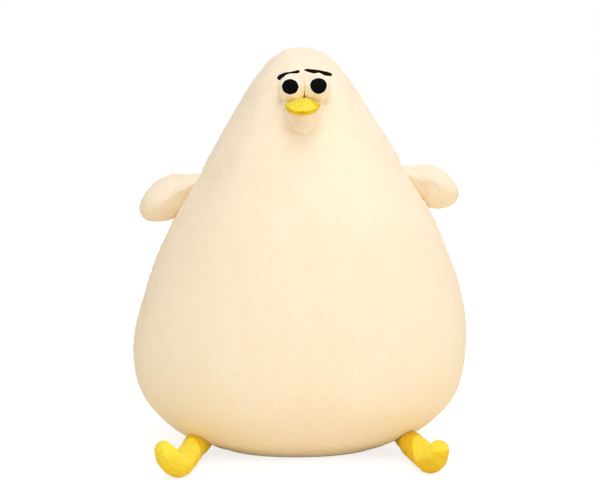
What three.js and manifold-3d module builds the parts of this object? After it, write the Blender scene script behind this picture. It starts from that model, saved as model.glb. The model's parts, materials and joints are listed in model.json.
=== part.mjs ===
// Plush seagull pillow: a fat sitting bird of short-pile fabric, stuffed with fibre.
// The body is a pear with a flat base. On the head sit a muzzle, two ball eyes, felt brows and a
// padded beak. Two flippers and two bent legs are sewn on at seams that let them swing.
// Every stuffed part is made as it is sewn: fabric panels that meet at seams, round a fibre fill.
// Millimetres. +Z is up, -Y is the way the bird faces, and the origin is the middle of the face
// that it sits on. Left and right are the bird's own, so its left side is +X.

import * as THREE from "three";
import { mergeVertices } from "three/addons/utils/BufferGeometryUtils.js";
import Module from "manifold-3d";

const wasm = await Module();
wasm.setup();

// Fabric and fit
const FABRIC = 2; // short-pile fabric, with its pile
const THIN_FABRIC = 1.5; // fabric of the small face parts
const FELT = 1; // felt of the brows, pupils and eye rims
const CLEARANCE = 0.3; // between pieces that touch

// Body
const BODY_HEIGHT = 450;
const BODY_WIDTH = 376; // at the belly
const BODY_DEPTH = 248; // at the belly
const BASE_FLAT_RIM = 30; // width of the flat rim just inside the base's edge
const BASE_SEAM_HEIGHT = 9; // where the base panel is sewn to the sides
const BODY_SQUARENESS = 2.2; // power of the oval cross-section, 2 is an ellipse
const HEAD_ROUNDNESS = 0.86; // depth of the head for its width
const BODY_LEAN = 3.9; // of the shoulders to the bird's left, where it leans most

// The body's front outline, from the edge of the base to the crown: how far up, as a share of
// the height, and how far out, as a share of half the width
const BODY_OUTLINE = [
  { up: 0, out: 0.457 },
  { up: 0.016, out: 0.527 },
  { up: 0.058, out: 0.777 },
  { up: 0.138, out: 0.947 },
  { up: 0.262, out: 1 },
  { up: 0.411, out: 0.934 },
  { up: 0.567, out: 0.785 },
  { up: 0.722, out: 0.574 },
  { up: 0.844, out: 0.394 },
  { up: 0.929, out: 0.261 },
  { up: 0.978, out: 0.154 },
  { up: 1, out: 0 },
];
const BELLY_UP = 0.262; // up to this share of the height the body keeps the belly's depth
const HEAD_UP = 0.89; // and from here up it has the head's roundness
const LEAN_UP = 0.6; // share of the height at which it leans most
const LEAN_SPREAD = 0.245; // share of the height over which the lean dies away

// Muzzle: a padded cone under the eyes, wide above and round at the chin
const MUZZLE_WIDTH = 42;
const MUZZLE_HEIGHT = 48;
const MUZZLE_DROP = 96.5; // of the chin below the crown
const MUZZLE_ASIDE = -0.8; // of its middle
const MUZZLE_FULLNESS = 1.15; // how far it stands out for half its width, at the chin
const MUZZLE_TOP_FULLNESS = 0.6; // and between the eyes
const MUZZLE_SHALLOWS = { from: 0.42, to: 0.87 }; // shares of its height, between the two
const MUZZLE_OUTLINE = [
  { up: 0, out: 0 },
  { up: 0.04, out: 0.28 },
  { up: 0.15, out: 0.58 },
  { up: 0.36, out: 0.84 },
  { up: 0.7, out: 1 },
  { up: 0.87, out: 0.88 },
  { up: 0.96, out: 0.5 },
  { up: 1, out: 0 },
];

// Eyes: balls with a felt rim and pupil
const EYE_DIAMETER = 27.2;
const EYE_SPACING = 29.6;
const EYE_DROP = { left: 47.2, right: 48.2 }; // below the crown
const EYE_OUTSET = 12.5; // of the ball's middle from the head
const PUPIL_DIAMETER = 16.6;
const EYE_RIM_DIAMETER = 19.8;
const EYE_LOOKS_UP = 8; // degrees

// Brows: felt strips on the forehead. Each is drawn in shares of the length: where its inner and
// outer ends are to the side, how far the outer end falls, and how far the middle arches up; and
// in shares of the width: how wide its inner end, middle and outer end are.
const BROW_LENGTH = 26;
const BROW_WIDTH = 5;
const BROW_DROP = 29; // of the inner ends below the crown
const BROWS = {
  left: { inner: 0.07, outer: 1.1, fall: 0.16, arch: 0, widths: [0.5, 0.76, 0.96] },
  right: { inner: 0.16, outer: 0.97, fall: 0.24, arch: 0.06, widths: [0.64, 0.52, 1] },
};

// Beak: an upper and a lower pad that meet at a seam and droop to the tip
const BEAK_LENGTH = 40;
const BEAK_WIDTH = 38.5;
const BEAK_DROP = 65.8; // of the seam below the crown, at the muzzle
const BEAK_OUTSET = 8; // of its hidden end from the head
const BEAK_ASIDE = -1.6; // of its hidden end
const BEAK_DROOP = 8.5; // of the tip
const BEAK_UPPER_THICKNESS = 8;
const BEAK_LOWER_THICKNESS = 7.5;
const BEAK_TURN = 4; // degrees to the bird's right

// Flippers: swollen paddles that swing on a seam at the shoulder
const WING_LENGTH = { left: 64, right: 72 }; // from the seam to the tip
const WING_ROOT_CHORD = 40;
const WING_ROOT_THICKNESS = 19;
const WING_CHORD = 62;
const WING_THICKNESS = 44;
const WING_FULL_FROM = 0.55; // share of the length at which it reaches its full thickness
const WING_SEAM_SETBACK = 5; // behind the body's widest line
const WING_SEAM_DEPTH = 3; // of the swing axis below the body's surface
const WING_SEAM_DROP = { left: 142, right: 150 }; // below the crown
const WING_DROOP = { left: 26, right: 28 }; // degrees below level
const WING_SWINGS = [0, 30, 60]; // degrees up from there that it stays clear of the body

// Legs: a stuffed tube that lies on the ground, and bends up and out at the ankle into the foot
const HIP_SPACING = 227;
const HIP_HEIGHT = 18.3;
const HIP_DIAMETER = 23;
const HIP_NECK = 0.12; // share of the length up to which it keeps the hip's diameter
const LEG_DIAMETER = 28.4;
const LEG_FULL_FROM = 0.45; // share of the length from which it has its full diameter
const LEG_LENGTH = 70; // from the hip to where the ankle's bend starts
const LEG_SPLAY = 13.3; // degrees out from straight ahead
const LEG_FALL = 2.8; // degrees below level
const ANKLE_BEND = 15.3; // radius of the bend, at the tube's middle
const ANKLE_DIAMETER = 26.4; // where the bend ends
const TOE_DIAMETER = 22.4;
const FOOT_LENGTH = 5.8; // from the end of the bend to the middle of the toe
const FOOT_SPLAY = 87.6;
const FOOT_RISE = 45.8;
const LEG_SWINGS = [-40, 0, 5]; // degrees up from rest that it stays clear of the body

// Facets
const BODY_STATIONS = [0, 1, 1.5, 2, 2.5, 3, 3.5, 4, 4.5, 5, 6, 7, 8, 9, 10, 11, 11.5];
const BODY_SIDES = 28;
const LIMB_SIDES = 10;
const ANKLE_STEPS = 4;
const BALL_SIDES = 16;
const FACE_SIDES = 12;

// A solid from a closed surface, facing out whichever way round its triangles were written
function solidOf(geometry) {
  const bare = geometry.clone();
  bare.deleteAttribute("normal");
  bare.deleteAttribute("uv");
  const merged = mergeVertices(bare, 1e-4);
  const vertProperties = new Float32Array(merged.attributes.position.array);
  const triVerts = new Uint32Array(merged.index.array);
  const made = new wasm.Manifold(new wasm.Mesh({ numProp: 3, vertProperties, triVerts }));
  if (made.volume() > 0) return made;
  for (let i = 0; i < triVerts.length; i += 3) {
    [triVerts[i + 1], triVerts[i + 2]] = [triVerts[i + 2], triVerts[i + 1]];
  }
  return new wasm.Manifold(new wasm.Mesh({ numProp: 3, vertProperties, triVerts }));
}

function geometryOf(solid) {
  const mesh = solid.getMesh();
  const geometry = new THREE.BufferGeometry();
  const positions = new THREE.BufferAttribute(new Float32Array(mesh.vertProperties), 3);
  geometry.setAttribute("position", positions);
  geometry.setIndex(new THREE.BufferAttribute(new Uint32Array(mesh.triVerts), 1));
  geometry.computeVertexNormals();
  return geometry;
}

const placed = (solid, matrix) => solidOf(geometryOf(solid).applyMatrix4(matrix));

// A closed surface through rings of points, where a ring of one point closes an end
function loft(rings) {
  const starts = [];
  let count = 0;
  for (const ring of rings) {
    starts.push(count);
    count += ring.length;
  }
  const at = (ring, k) => starts[ring] + (k % rings[ring].length);
  const index = [];
  for (let i = 0; i + 1 < rings.length; i += 1) {
    const sides = Math.max(rings[i].length, rings[i + 1].length);
    for (let k = 0; k < sides; k += 1) {
      if (rings[i].length > 1) index.push(at(i, k), at(i, k + 1), at(i + 1, k));
      if (rings[i + 1].length > 1) index.push(at(i, k + 1), at(i + 1, k + 1), at(i + 1, k));
    }
  }
  const geometry = new THREE.BufferGeometry().setFromPoints(rings.flat());
  geometry.setIndex(index);
  return geometry;
}

const vector = (x, y, z) => new THREE.Vector3(x, y, z);
const power = (value, exponent) => Math.sign(value) * Math.abs(value) ** exponent;
const smooth = (t) => t * t * (3 - 2 * t);
const clamp = THREE.MathUtils.clamp;
const radians = THREE.MathUtils.degToRad;

// The half of space on the far side of a plane through a point, as a block
function halfSpace(point, normal, offset = 0) {
  const size = 4 * BODY_HEIGHT;
  const block = new THREE.BoxGeometry(size, size, size);
  block.translate(0, 0, size / 2 + offset);
  const turn = new THREE.Quaternion().setFromUnitVectors(vector(0, 0, 1), normal.clone().normalize());
  block.applyQuaternion(turn);
  block.translate(point.x, point.y, point.z);
  return solidOf(block);
}

// The two fabric panels of a shell, one on each side of a seam plane
function panelsAt(shell, point, normal) {
  const back = normal.clone().negate();
  return [
    shell.intersect(halfSpace(point, normal, CLEARANCE / 2)),
    shell.intersect(halfSpace(point, back, CLEARANCE / 2)),
  ];
}

// The body's outline as one curve, through the crown and down again so that the crown is round
const outlineStations = BODY_OUTLINE.map(({ up, out }) =>
  vector((out * BODY_WIDTH) / 2, 0, up * BODY_HEIGHT),
);
outlineStations.unshift(outlineStations[0].clone().sub(vector(BASE_FLAT_RIM, 0, 0)));
const crownMirror = outlineStations.at(-2).clone().multiply(vector(-1, 1, 1));
const outlineCurve = new THREE.CatmullRomCurve3(
  [...outlineStations, crownMirror],
  false,
  "centripetal",
);
const outlineSpans = outlineStations.length - 1;
const outlineAt = (station) => outlineCurve.getPoint(station / (outlineSpans + 1));

// The body's depth for its width, from the belly's share up to the head's
function depthToWidth(height) {
  const up = clamp((height / BODY_HEIGHT - BELLY_UP) / (HEAD_UP - BELLY_UP), 0, 1);
  return THREE.MathUtils.lerp(BODY_DEPTH / BODY_WIDTH, HEAD_ROUNDNESS, smooth(up));
}

// How far the body's middle leans to the bird's left at a height
const bodyLean = (height) =>
  BODY_LEAN * Math.exp(-(((height / BODY_HEIGHT - LEAN_UP) / LEAN_SPREAD) ** 2));

// A point on the body's surface, at a station of the outline and an angle round it from +X
function bodySurface(station, angle) {
  const outline = outlineAt(station);
  const out = outline.x * power(Math.cos(angle), 2 / BODY_SQUARENESS);
  const x = out + bodyLean(outline.z);
  const y = outline.x * depthToWidth(outline.z) * power(Math.sin(angle), 2 / BODY_SQUARENESS);
  return vector(x, y, outline.z);
}

function bodyNormal(station, angle) {
  const step = 1e-3;
  const below = Math.max(station - step, 0);
  const up = bodySurface(station + step, angle).sub(bodySurface(below, angle));
  const round = bodySurface(station, angle + step).sub(bodySurface(station, angle - step));
  return round.cross(up).normalize();
}

// The body as a solid, its surface moved in by inset, or out where that is negative
function bodySolid(inset) {
  const crown = vector(bodyLean(BODY_HEIGHT), 0, BODY_HEIGHT - inset);
  const rings = [[vector(0, 0, inset)]];
  for (const station of BODY_STATIONS) {
    const ring = [];
    for (let side = 0; side < BODY_SIDES; side += 1) {
      const angle = (2 * Math.PI * side) / BODY_SIDES;
      const moved = bodyNormal(station, angle).multiplyScalar(-inset);
      ring.push(bodySurface(station, angle).add(moved));
    }
    rings.push(ring);
  }
  rings.push([crown]);
  return solidOf(loft(rings));
}

// Half width of the body at a height, found by halving on its outline
function bodyHalfWidth(height) {
  let low = 1;
  let high = outlineSpans;
  for (let i = 0; i < 40; i += 1) {
    const middle = (low + high) / 2;
    if (outlineAt(middle).z < height) low = middle;
    else high = middle;
  }
  return outlineAt(low).x;
}

// How far in front of the middle the body's surface is, at a height and a distance to one side
function bodyFront(x, height) {
  const halfWidth = bodyHalfWidth(height);
  const across = 1 - (Math.abs(x - bodyLean(height)) / halfWidth) ** BODY_SQUARENESS;
  return halfWidth * depthToWidth(height) * across ** (1 / BODY_SQUARENESS);
}

function ball(centre, radius) {
  const sphere = new THREE.SphereGeometry(radius, BALL_SIDES, BALL_SIDES / 2);
  sphere.rotateX(Math.PI / 2);
  sphere.translate(...centre);
  return solidOf(sphere);
}

const bodyCutter = bodySolid(-CLEARANCE);

// Eyes
function eyeCentre(side) {
  const height = BODY_HEIGHT - (side > 0 ? EYE_DROP.left : EYE_DROP.right);
  const middle = bodyLean(height);
  const front = bodyFront(middle + EYE_SPACING / 2, height) + EYE_OUTSET;
  return [middle + (side * EYE_SPACING) / 2, -front, height];
}

const eyeAt = (side, inset) => ball(eyeCentre(side), EYE_DIAMETER / 2 - inset);

// A felt cap or ring on the eyeball, between two diameters seen from the front
function eyeFelt(side, innerDiameter, outerDiameter, grown = 0) {
  const inside = EYE_DIAMETER / 2 + CLEARANCE - grown;
  const outside = inside + FELT + 2 * grown;
  const arcSteps = 2;
  const arc = (radius, from, to) =>
    Array.from({ length: arcSteps + 1 }, (_, i) => {
      const angle = THREE.MathUtils.lerp(from, to, i / arcSteps);
      return new THREE.Vector2(radius * Math.sin(angle), radius * Math.cos(angle));
    });
  const from = Math.asin(innerDiameter / 2 / outside);
  const to = Math.asin(outerDiameter / 2 / outside);
  const profile = [...arc(inside, from, to), ...arc(outside, to, from)];
  if (innerDiameter > 0) profile.push(profile[0].clone());
  const felt = new THREE.LatheGeometry(profile, BALL_SIDES);
  felt.rotateX(Math.PI - radians(EYE_LOOKS_UP));
  felt.translate(...eyeCentre(side));
  return solidOf(felt);
}

const eyeCutter = (side) =>
  eyeAt(side, -CLEARANCE).add(eyeFelt(side, 0, EYE_RIM_DIAMETER + 2 * CLEARANCE, CLEARANCE));

const eyesCutter = eyeCutter(1).add(eyeCutter(-1));

function makeEye(name, side) {
  return {
    [`eye_${name}_cover`]: eyeAt(side, 0).subtract(eyeAt(side, THIN_FABRIC)).subtract(bodyCutter),
    [`eye_${name}_fill`]: eyeAt(side, THIN_FABRIC + CLEARANCE).subtract(bodyCutter),
    [`eye_${name}_rim`]: eyeFelt(side, PUPIL_DIAMETER + 2 * CLEARANCE, EYE_RIM_DIAMETER),
    [`eye_${name}_pupil`]: eyeFelt(side, 0, PUPIL_DIAMETER),
  };
}

// How far the muzzle stands out for half its width, at a share of its height
function muzzleFullness(up) {
  const { from, to } = MUZZLE_SHALLOWS;
  const shallow = smooth(clamp((up - from) / (to - from), 0, 1));
  return THREE.MathUtils.lerp(MUZZLE_FULLNESS, MUZZLE_TOP_FULLNESS, shallow);
}

// Muzzle: level ovals round the line where the head's front would be, moved in by inset
function muzzleAt(inset) {
  const bottom = BODY_HEIGHT - MUZZLE_DROP;
  const scale = 1 - (2 * inset) / MUZZLE_HEIGHT;
  const rings = MUZZLE_OUTLINE.map(({ up, out }) => {
    const height = bottom + MUZZLE_HEIGHT * (0.5 + (up - 0.5) * scale);
    const lean = bodyLean(height);
    const middle = vector(lean + MUZZLE_ASIDE, -bodyFront(lean, height), height);
    if (out === 0) return [middle];
    const halfWidth = Math.max((out * MUZZLE_WIDTH) / 2 - inset, FELT);
    const fullDepth = (muzzleFullness(up) * out * MUZZLE_WIDTH) / 2;
    const halfDepth = Math.max(fullDepth - inset, FELT);
    return Array.from({ length: FACE_SIDES }, (_, k) => {
      const angle = (2 * Math.PI * k) / FACE_SIDES;
      const offset = vector(halfWidth * Math.cos(angle), halfDepth * Math.sin(angle), 0);
      return middle.clone().add(offset);
    });
  });
  return solidOf(loft(rings));
}

const muzzleCutter = muzzleAt(-CLEARANCE);

function makeMuzzle() {
  const clear = bodyCutter.add(eyesCutter);
  return {
    muzzle_cover: muzzleAt(0).subtract(muzzleAt(THIN_FABRIC)).subtract(clear),
    muzzle_fill: muzzleAt(THIN_FABRIC + CLEARANCE).subtract(clear),
  };
}

// Brows: a strip drawn in the front view and laid on the forehead
function makeBrow(brow, side) {
  const height = BODY_HEIGHT - BROW_DROP;
  const inner = new THREE.Vector2(side * brow.inner * BROW_LENGTH, height);
  const outer = new THREE.Vector2(side * brow.outer * BROW_LENGTH, height - brow.fall * BROW_LENGTH);
  const arch = new THREE.Vector2(0, brow.arch * BROW_LENGTH);
  const middle = inner.clone().lerp(outer, 0.5).add(arch);
  const [innerWidth, middleWidth, outerWidth] = brow.widths.map((share) => share * BROW_WIDTH);
  const along = outer.clone().sub(inner).normalize();
  const across = new THREE.Vector2(-along.y, along.x);
  const edge = (point, width, sign) => point.clone().addScaledVector(across, (sign * width) / 2);
  const bulge = (point, width, sign) => point.clone().addScaledVector(along, (sign * width) / 2);
  const outline = new THREE.SplineCurve([
    bulge(inner, innerWidth, -1),
    edge(inner, innerWidth, 1),
    edge(middle, middleWidth, 1),
    edge(outer, outerWidth, 1),
    bulge(outer, outerWidth, 1),
    edge(outer, outerWidth, -1),
    edge(middle, middleWidth, -1),
    edge(inner, innerWidth, -1),
    bulge(inner, innerWidth, -1),
  ]);
  const depth = BODY_HEIGHT / 4;
  const pointCount = 24;
  const strip = new THREE.ExtrudeGeometry(new THREE.Shape(outline.getPoints(pointCount)), {
    depth,
    bevelEnabled: false,
  });
  strip.rotateX(Math.PI / 2);
  const onSurface = bodySolid(-CLEARANCE - FELT).subtract(bodyCutter);
  return solidOf(strip).intersect(onSurface);
}

// Beak in its own frame: X across, Y back from the tip's side, Z up from the seam at the muzzle
const beakHalfWidth = (share) => (BEAK_WIDTH / 2) * (1 - share ** 2.6) ** 0.62;
const beakDroop = (share) => BEAK_DROOP * share ** 2;
const BEAK_SHARES = [0, 0.25, 0.5, 0.68, 0.82, 0.92, 0.975];

const beakHeight = BODY_HEIGHT - BEAK_DROP;
const beakLean = bodyLean(beakHeight);
const beakBack = bodyFront(beakLean, beakHeight) + BEAK_OUTSET;
const beakPlace = new THREE.Matrix4()
  .makeTranslation(beakLean + BEAK_ASIDE, -beakBack, beakHeight)
  .multiply(new THREE.Matrix4().makeRotationZ(-radians(BEAK_TURN)));

function beakSolid(inset) {
  const rings = BEAK_SHARES.map((share) => {
    const swell = Math.sqrt(1 - share ** 3);
    const halfWidth = Math.max(beakHalfWidth(share) - inset, FELT / 2);
    return Array.from({ length: FACE_SIDES }, (_, k) => {
      const angle = (2 * Math.PI * k) / FACE_SIDES;
      const rise = Math.sin(angle) > 0 ? BEAK_UPPER_THICKNESS : BEAK_LOWER_THICKNESS;
      const halfHeight = Math.max(rise * swell - inset, FELT / 4);
      const z = halfHeight * power(Math.sin(angle), 1.25) - beakDroop(share);
      return vector(halfWidth * Math.cos(angle), -share * (BEAK_LENGTH - inset), z);
    });
  });
  const tip = vector(0, inset - BEAK_LENGTH, -BEAK_DROOP);
  return placed(solidOf(loft([[vector(0, 0, 0)], ...rings, [tip]])), beakPlace);
}

// The block above the beak's seam, moved up by offset, or below it where the offset is negative
function beakSide(offset) {
  const steps = 8;
  const far = Math.sign(offset) * 2 * BEAK_WIDTH;
  const shape = new THREE.Shape();
  shape.moveTo(-BEAK_LENGTH, offset);
  for (let i = 0; i <= steps; i += 1) {
    const share = i / steps;
    shape.lineTo(share * BEAK_LENGTH, offset - beakDroop(share));
  }
  shape.lineTo(2 * BEAK_LENGTH, offset - 2 * BEAK_DROOP);
  shape.lineTo(2 * BEAK_LENGTH, far);
  shape.lineTo(-BEAK_LENGTH, far);
  const block = new THREE.ExtrudeGeometry(shape, { depth: 2 * BEAK_WIDTH, bevelEnabled: false });
  block.translate(0, 0, -BEAK_WIDTH);
  block.rotateX(Math.PI / 2);
  block.rotateZ(-Math.PI / 2);
  return placed(solidOf(block), beakPlace);
}

function makeBeak() {
  const clear = muzzleCutter.add(bodyCutter).add(eyesCutter);
  const shell = beakSolid(0).subtract(beakSolid(THIN_FABRIC)).subtract(clear);
  return {
    beak_upper_panel: shell.intersect(beakSide(CLEARANCE / 2)),
    beak_lower_panel: shell.intersect(beakSide(-CLEARANCE / 2)),
    beak_fill: beakSolid(THIN_FABRIC + CLEARANCE).subtract(clear),
  };
}

// Flipper in its own frame: X along it from the swing axis, Y along its seam, Z through it
const WING_SHARES = [0, 0.2, 0.4, 0.6, 0.76, 0.88, 0.96];
const wingHalfThickness = (share) => {
  const swell = Math.sin((Math.PI / 2) * Math.min(share / WING_FULL_FROM, 1));
  const thickness = THREE.MathUtils.lerp(WING_ROOT_THICKNESS, WING_THICKNESS, swell);
  return (thickness / 2) * Math.sqrt(1 - share ** 5);
};
const wingHalfChord = (share) => {
  const swell = smooth(clamp(share / 0.6, 0, 1));
  const chord = THREE.MathUtils.lerp(WING_ROOT_CHORD, WING_CHORD, swell);
  return (chord / 2) * Math.sqrt(1 - share ** 5);
};
const wingEdge = (across) => (1 - Math.abs(across) ** 2.4) ** 0.7; // thickness towards the seam

// The flipper's root is round about the swing axis, so it turns in its seat in the body
function wingRoot(inset) {
  const steps = 8;
  const halfChord = WING_ROOT_CHORD / 2 - inset;
  const profile = [];
  for (let i = 0; i <= steps; i += 1) {
    const across = -Math.cos((Math.PI * i) / steps);
    const radius = (WING_ROOT_THICKNESS / 2 - inset) * wingEdge(across);
    profile.push(new THREE.Vector2(Math.abs(across) === 1 ? 0 : radius, halfChord * across));
  }
  return solidOf(new THREE.LatheGeometry(profile, BALL_SIDES));
}

function wingSolid(length, inset) {
  const rings = WING_SHARES.map((share) =>
    Array.from({ length: BALL_SIDES }, (_, k) => {
      const across = -Math.cos((2 * Math.PI * k) / BALL_SIDES);
      const sign = k <= BALL_SIDES / 2 ? 1 : -1;
      const halfHeight = Math.max(wingHalfThickness(share) - inset, FELT);
      const y = Math.max(wingHalfChord(share) - inset, FELT) * across;
      return vector(share * (length - inset), y, sign * halfHeight * wingEdge(across));
    }),
  );
  const tip = vector(length - inset, 0, 0);
  return solidOf(loft([[vector(0, 0, 0)], ...rings, [tip]])).add(wingRoot(inset));
}

// A limb with everything cut away that would meet the body as it swings
function clearOf(limbSolid, body, pivot, axis, swings) {
  let cleared = limbSolid;
  for (const swing of swings) {
    const turn = new THREE.Matrix4().makeTranslation(pivot)
      .multiply(new THREE.Matrix4().makeRotationAxis(axis, -radians(swing)))
      .multiply(new THREE.Matrix4().makeTranslation(pivot.clone().negate()));
    cleared = cleared.subtract(placed(body, turn));
  }
  return cleared;
}

function wingPivot(name) {
  const height = BODY_HEIGHT - WING_SEAM_DROP[name];
  const lean = name === "left" ? bodyLean(height) : -bodyLean(height);
  return vector(bodyHalfWidth(height) + lean - WING_SEAM_DEPTH, WING_SEAM_SETBACK, height);
}

const wingPlace = (name) =>
  new THREE.Matrix4().makeTranslation(wingPivot(name))
    .multiply(new THREE.Matrix4().makeRotationY(radians(WING_DROOP[name])));

// One flipper on the +X side, mirrored for the other
function makeWing(name, side) {
  const place = wingPlace(name);
  const mirror = new THREE.Matrix4().makeScale(side, 1, 1);
  const length = WING_LENGTH[name];
  const root = placed(wingRoot(-CLEARANCE / 2), place);
  const seatedBody = placed(bodyCutter, mirror).subtract(root);
  const up = vector(0, 0, 1).transformDirection(place);
  const pivot = wingPivot(name);
  const clear = (solid) =>
    clearOf(placed(solid, place), seatedBody, pivot, vector(0, -1, 0), WING_SWINGS);
  const shell = wingSolid(length, 0).subtract(wingSolid(length, FABRIC));
  const [outer, inner] = panelsAt(clear(shell), pivot, up);
  return {
    [`wing_${name}_outer_panel`]: placed(outer, mirror),
    [`wing_${name}_inner_panel`]: placed(inner, mirror),
    [`wing_${name}_fill`]: placed(clear(wingSolid(length, FABRIC + CLEARANCE)), mirror),
  };
}

// A direction given by its splay out from straight ahead and its rise above level, in degrees
function direction(splay, rise) {
  const level = Math.cos(radians(rise));
  const out = level * Math.sin(radians(splay));
  return vector(out, -level * Math.cos(radians(splay)), Math.sin(radians(rise)));
}

const hipFront = bodyFront(HIP_SPACING / 2, HIP_HEIGHT);
const hipCentre = vector(HIP_SPACING / 2, -hipFront, HIP_HEIGHT);
const legWay = direction(LEG_SPLAY, -LEG_FALL);
const footWay = direction(FOOT_SPLAY, FOOT_RISE);
const legSeamNormal = legWay.clone().cross(footWay).normalize();
const ankleInward = legSeamNormal.clone().cross(legWay); // to the side that it bends to
const legAxis = direction(LEG_SPLAY, 0).cross(vector(0, 0, 1));

// The leg's middle line as stops, each with the way it runs and its radius there
function legStops() {
  const hip = HIP_DIAMETER / 2;
  const full = LEG_DIAMETER / 2;
  const straight = [[0, hip], [HIP_NECK, hip], [LEG_FULL_FROM, full]];
  const stops = straight.map(([share, radius]) => ({
    centre: hipCentre.clone().addScaledVector(legWay, share * LEG_LENGTH),
    way: legWay,
    radius,
  }));
  const ankle = hipCentre.clone().addScaledVector(legWay, LEG_LENGTH);
  const bendCentre = ankle.clone().addScaledVector(ankleInward, ANKLE_BEND);
  for (let i = 0; i <= ANKLE_STEPS; i += 1) {
    const share = i / ANKLE_STEPS;
    const turn = share * legWay.angleTo(footWay);
    const centre = bendCentre.clone()
      .addScaledVector(legWay, ANKLE_BEND * Math.sin(turn))
      .addScaledVector(ankleInward, -ANKLE_BEND * Math.cos(turn));
    const way = legWay.clone().multiplyScalar(Math.cos(turn))
      .addScaledVector(ankleInward, Math.sin(turn));
    stops.push({ centre, way, radius: THREE.MathUtils.lerp(full, ANKLE_DIAMETER / 2, share) });
  }
  const toeCentre = stops.at(-1).centre.clone().addScaledVector(footWay, FOOT_LENGTH);
  stops.push({ centre: toeCentre, way: footWay, radius: TOE_DIAMETER / 2 });
  return stops;
}

// The leg as one bent tube with round ends, its surface moved in by inset
function legSolid(inset) {
  const ringAt = (centre, way, radius) => {
    const across = legSeamNormal.clone().cross(way).normalize();
    return Array.from({ length: LIMB_SIDES }, (_, k) => {
      const angle = (2 * Math.PI * k) / LIMB_SIDES;
      return centre.clone()
        .addScaledVector(legSeamNormal, radius * Math.cos(angle))
        .addScaledVector(across, radius * Math.sin(angle));
    });
  };
  const stops = legStops();
  const domeAngles = [35, 65].map(radians);
  const end = (stop, sign, angle) => {
    const radius = stop.radius - inset;
    const centre = stop.centre.clone().addScaledVector(stop.way, sign * radius * Math.cos(angle));
    return angle === 0 ? [centre] : ringAt(centre, stop.way, radius * Math.sin(angle));
  };
  const nearEnd = [0, ...domeAngles].map((angle) => end(stops[0], -1, angle));
  const farEnd = [...domeAngles.toReversed(), 0].map((angle) => end(stops.at(-1), 1, angle));
  const tube = stops.map(({ centre, way, radius }) => ringAt(centre, way, radius - inset));
  return solidOf(loft([...nearEnd, ...tube, ...farEnd]));
}

// One leg on the +X side, mirrored for the other
function makeLeg(name, side) {
  const mirror = new THREE.Matrix4().makeScale(side, 1, 1);
  const seatedBody = bodyCutter.subtract(ball(hipCentre.toArray(), (HIP_DIAMETER + CLEARANCE) / 2));
  const clear = (solid) => clearOf(solid, seatedBody, hipCentre, legAxis, LEG_SWINGS);
  const shell = clear(legSolid(0).subtract(legSolid(FABRIC)));
  const [outer, inner] = panelsAt(shell, hipCentre, legSeamNormal);
  return {
    [`leg_${name}_outer_panel`]: placed(outer, mirror),
    [`leg_${name}_inner_panel`]: placed(inner, mirror),
    [`leg_${name}_fill`]: placed(clear(legSolid(FABRIC + CLEARANCE)), mirror),
  };
}

// Body panels and fill, with a seat for each flipper and leg
function makeBody() {
  const up = vector(0, 0, 1);
  const seamPoint = vector(0, 0, BASE_SEAM_HEIGHT);
  const mirror = new THREE.Matrix4().makeScale(-1, 1, 1);
  const facetSlack = 1 / Math.cos(Math.PI / BALL_SIDES) ** 2; // a seat's flat facets stay clear too
  const wingSeatGap = (WING_ROOT_THICKNESS / 2) * (facetSlack - 1) + CLEARANCE;
  const wingSeat = (name) => placed(wingRoot(-wingSeatGap), wingPlace(name));
  const hipSeat = ball(hipCentre.toArray(), (HIP_DIAMETER / 2 + CLEARANCE) * facetSlack);
  const leftSeats = hipSeat.add(wingSeat("left"));
  const rightSeats = placed(hipSeat.add(wingSeat("right")), mirror);
  const seats = leftSeats.add(rightSeats);
  const shell = bodySolid(0).subtract(bodySolid(FABRIC)).subtract(seats);
  const [sides, base] = panelsAt(shell, seamPoint, up);
  const [back, front] = panelsAt(sides, seamPoint, vector(0, 1, 0));
  const [backLeft, backRight] = panelsAt(back, seamPoint, vector(1, 0, 0));
  return {
    body_front_panel: front,
    body_back_left_panel: backLeft,
    body_back_right_panel: backRight,
    body_base_panel: base,
    body_fill: bodySolid(FABRIC + CLEARANCE).subtract(seats),
  };
}

const SIDES = [
  ["left", 1],
  ["right", -1],
];

const cream = new THREE.MeshStandardMaterial({ color: 0xfaf0dc, roughness: 0.95, metalness: 0 });
const white = new THREE.MeshStandardMaterial({ color: 0xfdfbf5, roughness: 0.9, metalness: 0 });
const black = new THREE.MeshStandardMaterial({ color: 0x141311, roughness: 0.8, metalness: 0 });
const yellow = new THREE.MeshStandardMaterial({ color: 0xf9cf3a, roughness: 0.95, metalness: 0 });
const fibre = new THREE.MeshStandardMaterial({ color: 0xf4f4f2, roughness: 1, metalness: 0 });

function materialFor(name) {
  if (name.endsWith("fill")) return fibre;
  if (name.startsWith("brow") || name.endsWith("pupil")) return black;
  if (name.endsWith("rim")) return white;
  if (name.startsWith("beak") || name.startsWith("leg")) return yellow;
  return cream;
}

const pieces = {
  ...makeBody(),
  ...makeMuzzle(),
  ...makeBeak(),
  brow_left: makeBrow(BROWS.left, 1),
  brow_right: makeBrow(BROWS.right, -1),
};
for (const [name, side] of SIDES) {
  Object.assign(pieces, makeEye(name, side), makeWing(name, side), makeLeg(name, side));
}

const bird = new THREE.Group();
for (const [name, solid] of Object.entries(pieces)) {
  const mesh = new THREE.Mesh(geometryOf(solid), materialFor(name));
  mesh.name = name;
  bird.add(mesh);
}

export default bird;
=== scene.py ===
"""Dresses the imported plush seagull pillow: stuffed pieces, fabrics, stage and camera.

Metres, +Z up, the bird faces -Y. Left and right are the bird's own, so its left side is +X.
"""

import json
import math

import bmesh
import bpy
import numpy as np
from bpy.props import FloatProperty, FloatVectorProperty, PointerProperty
from mathutils import Matrix, Vector


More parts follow.
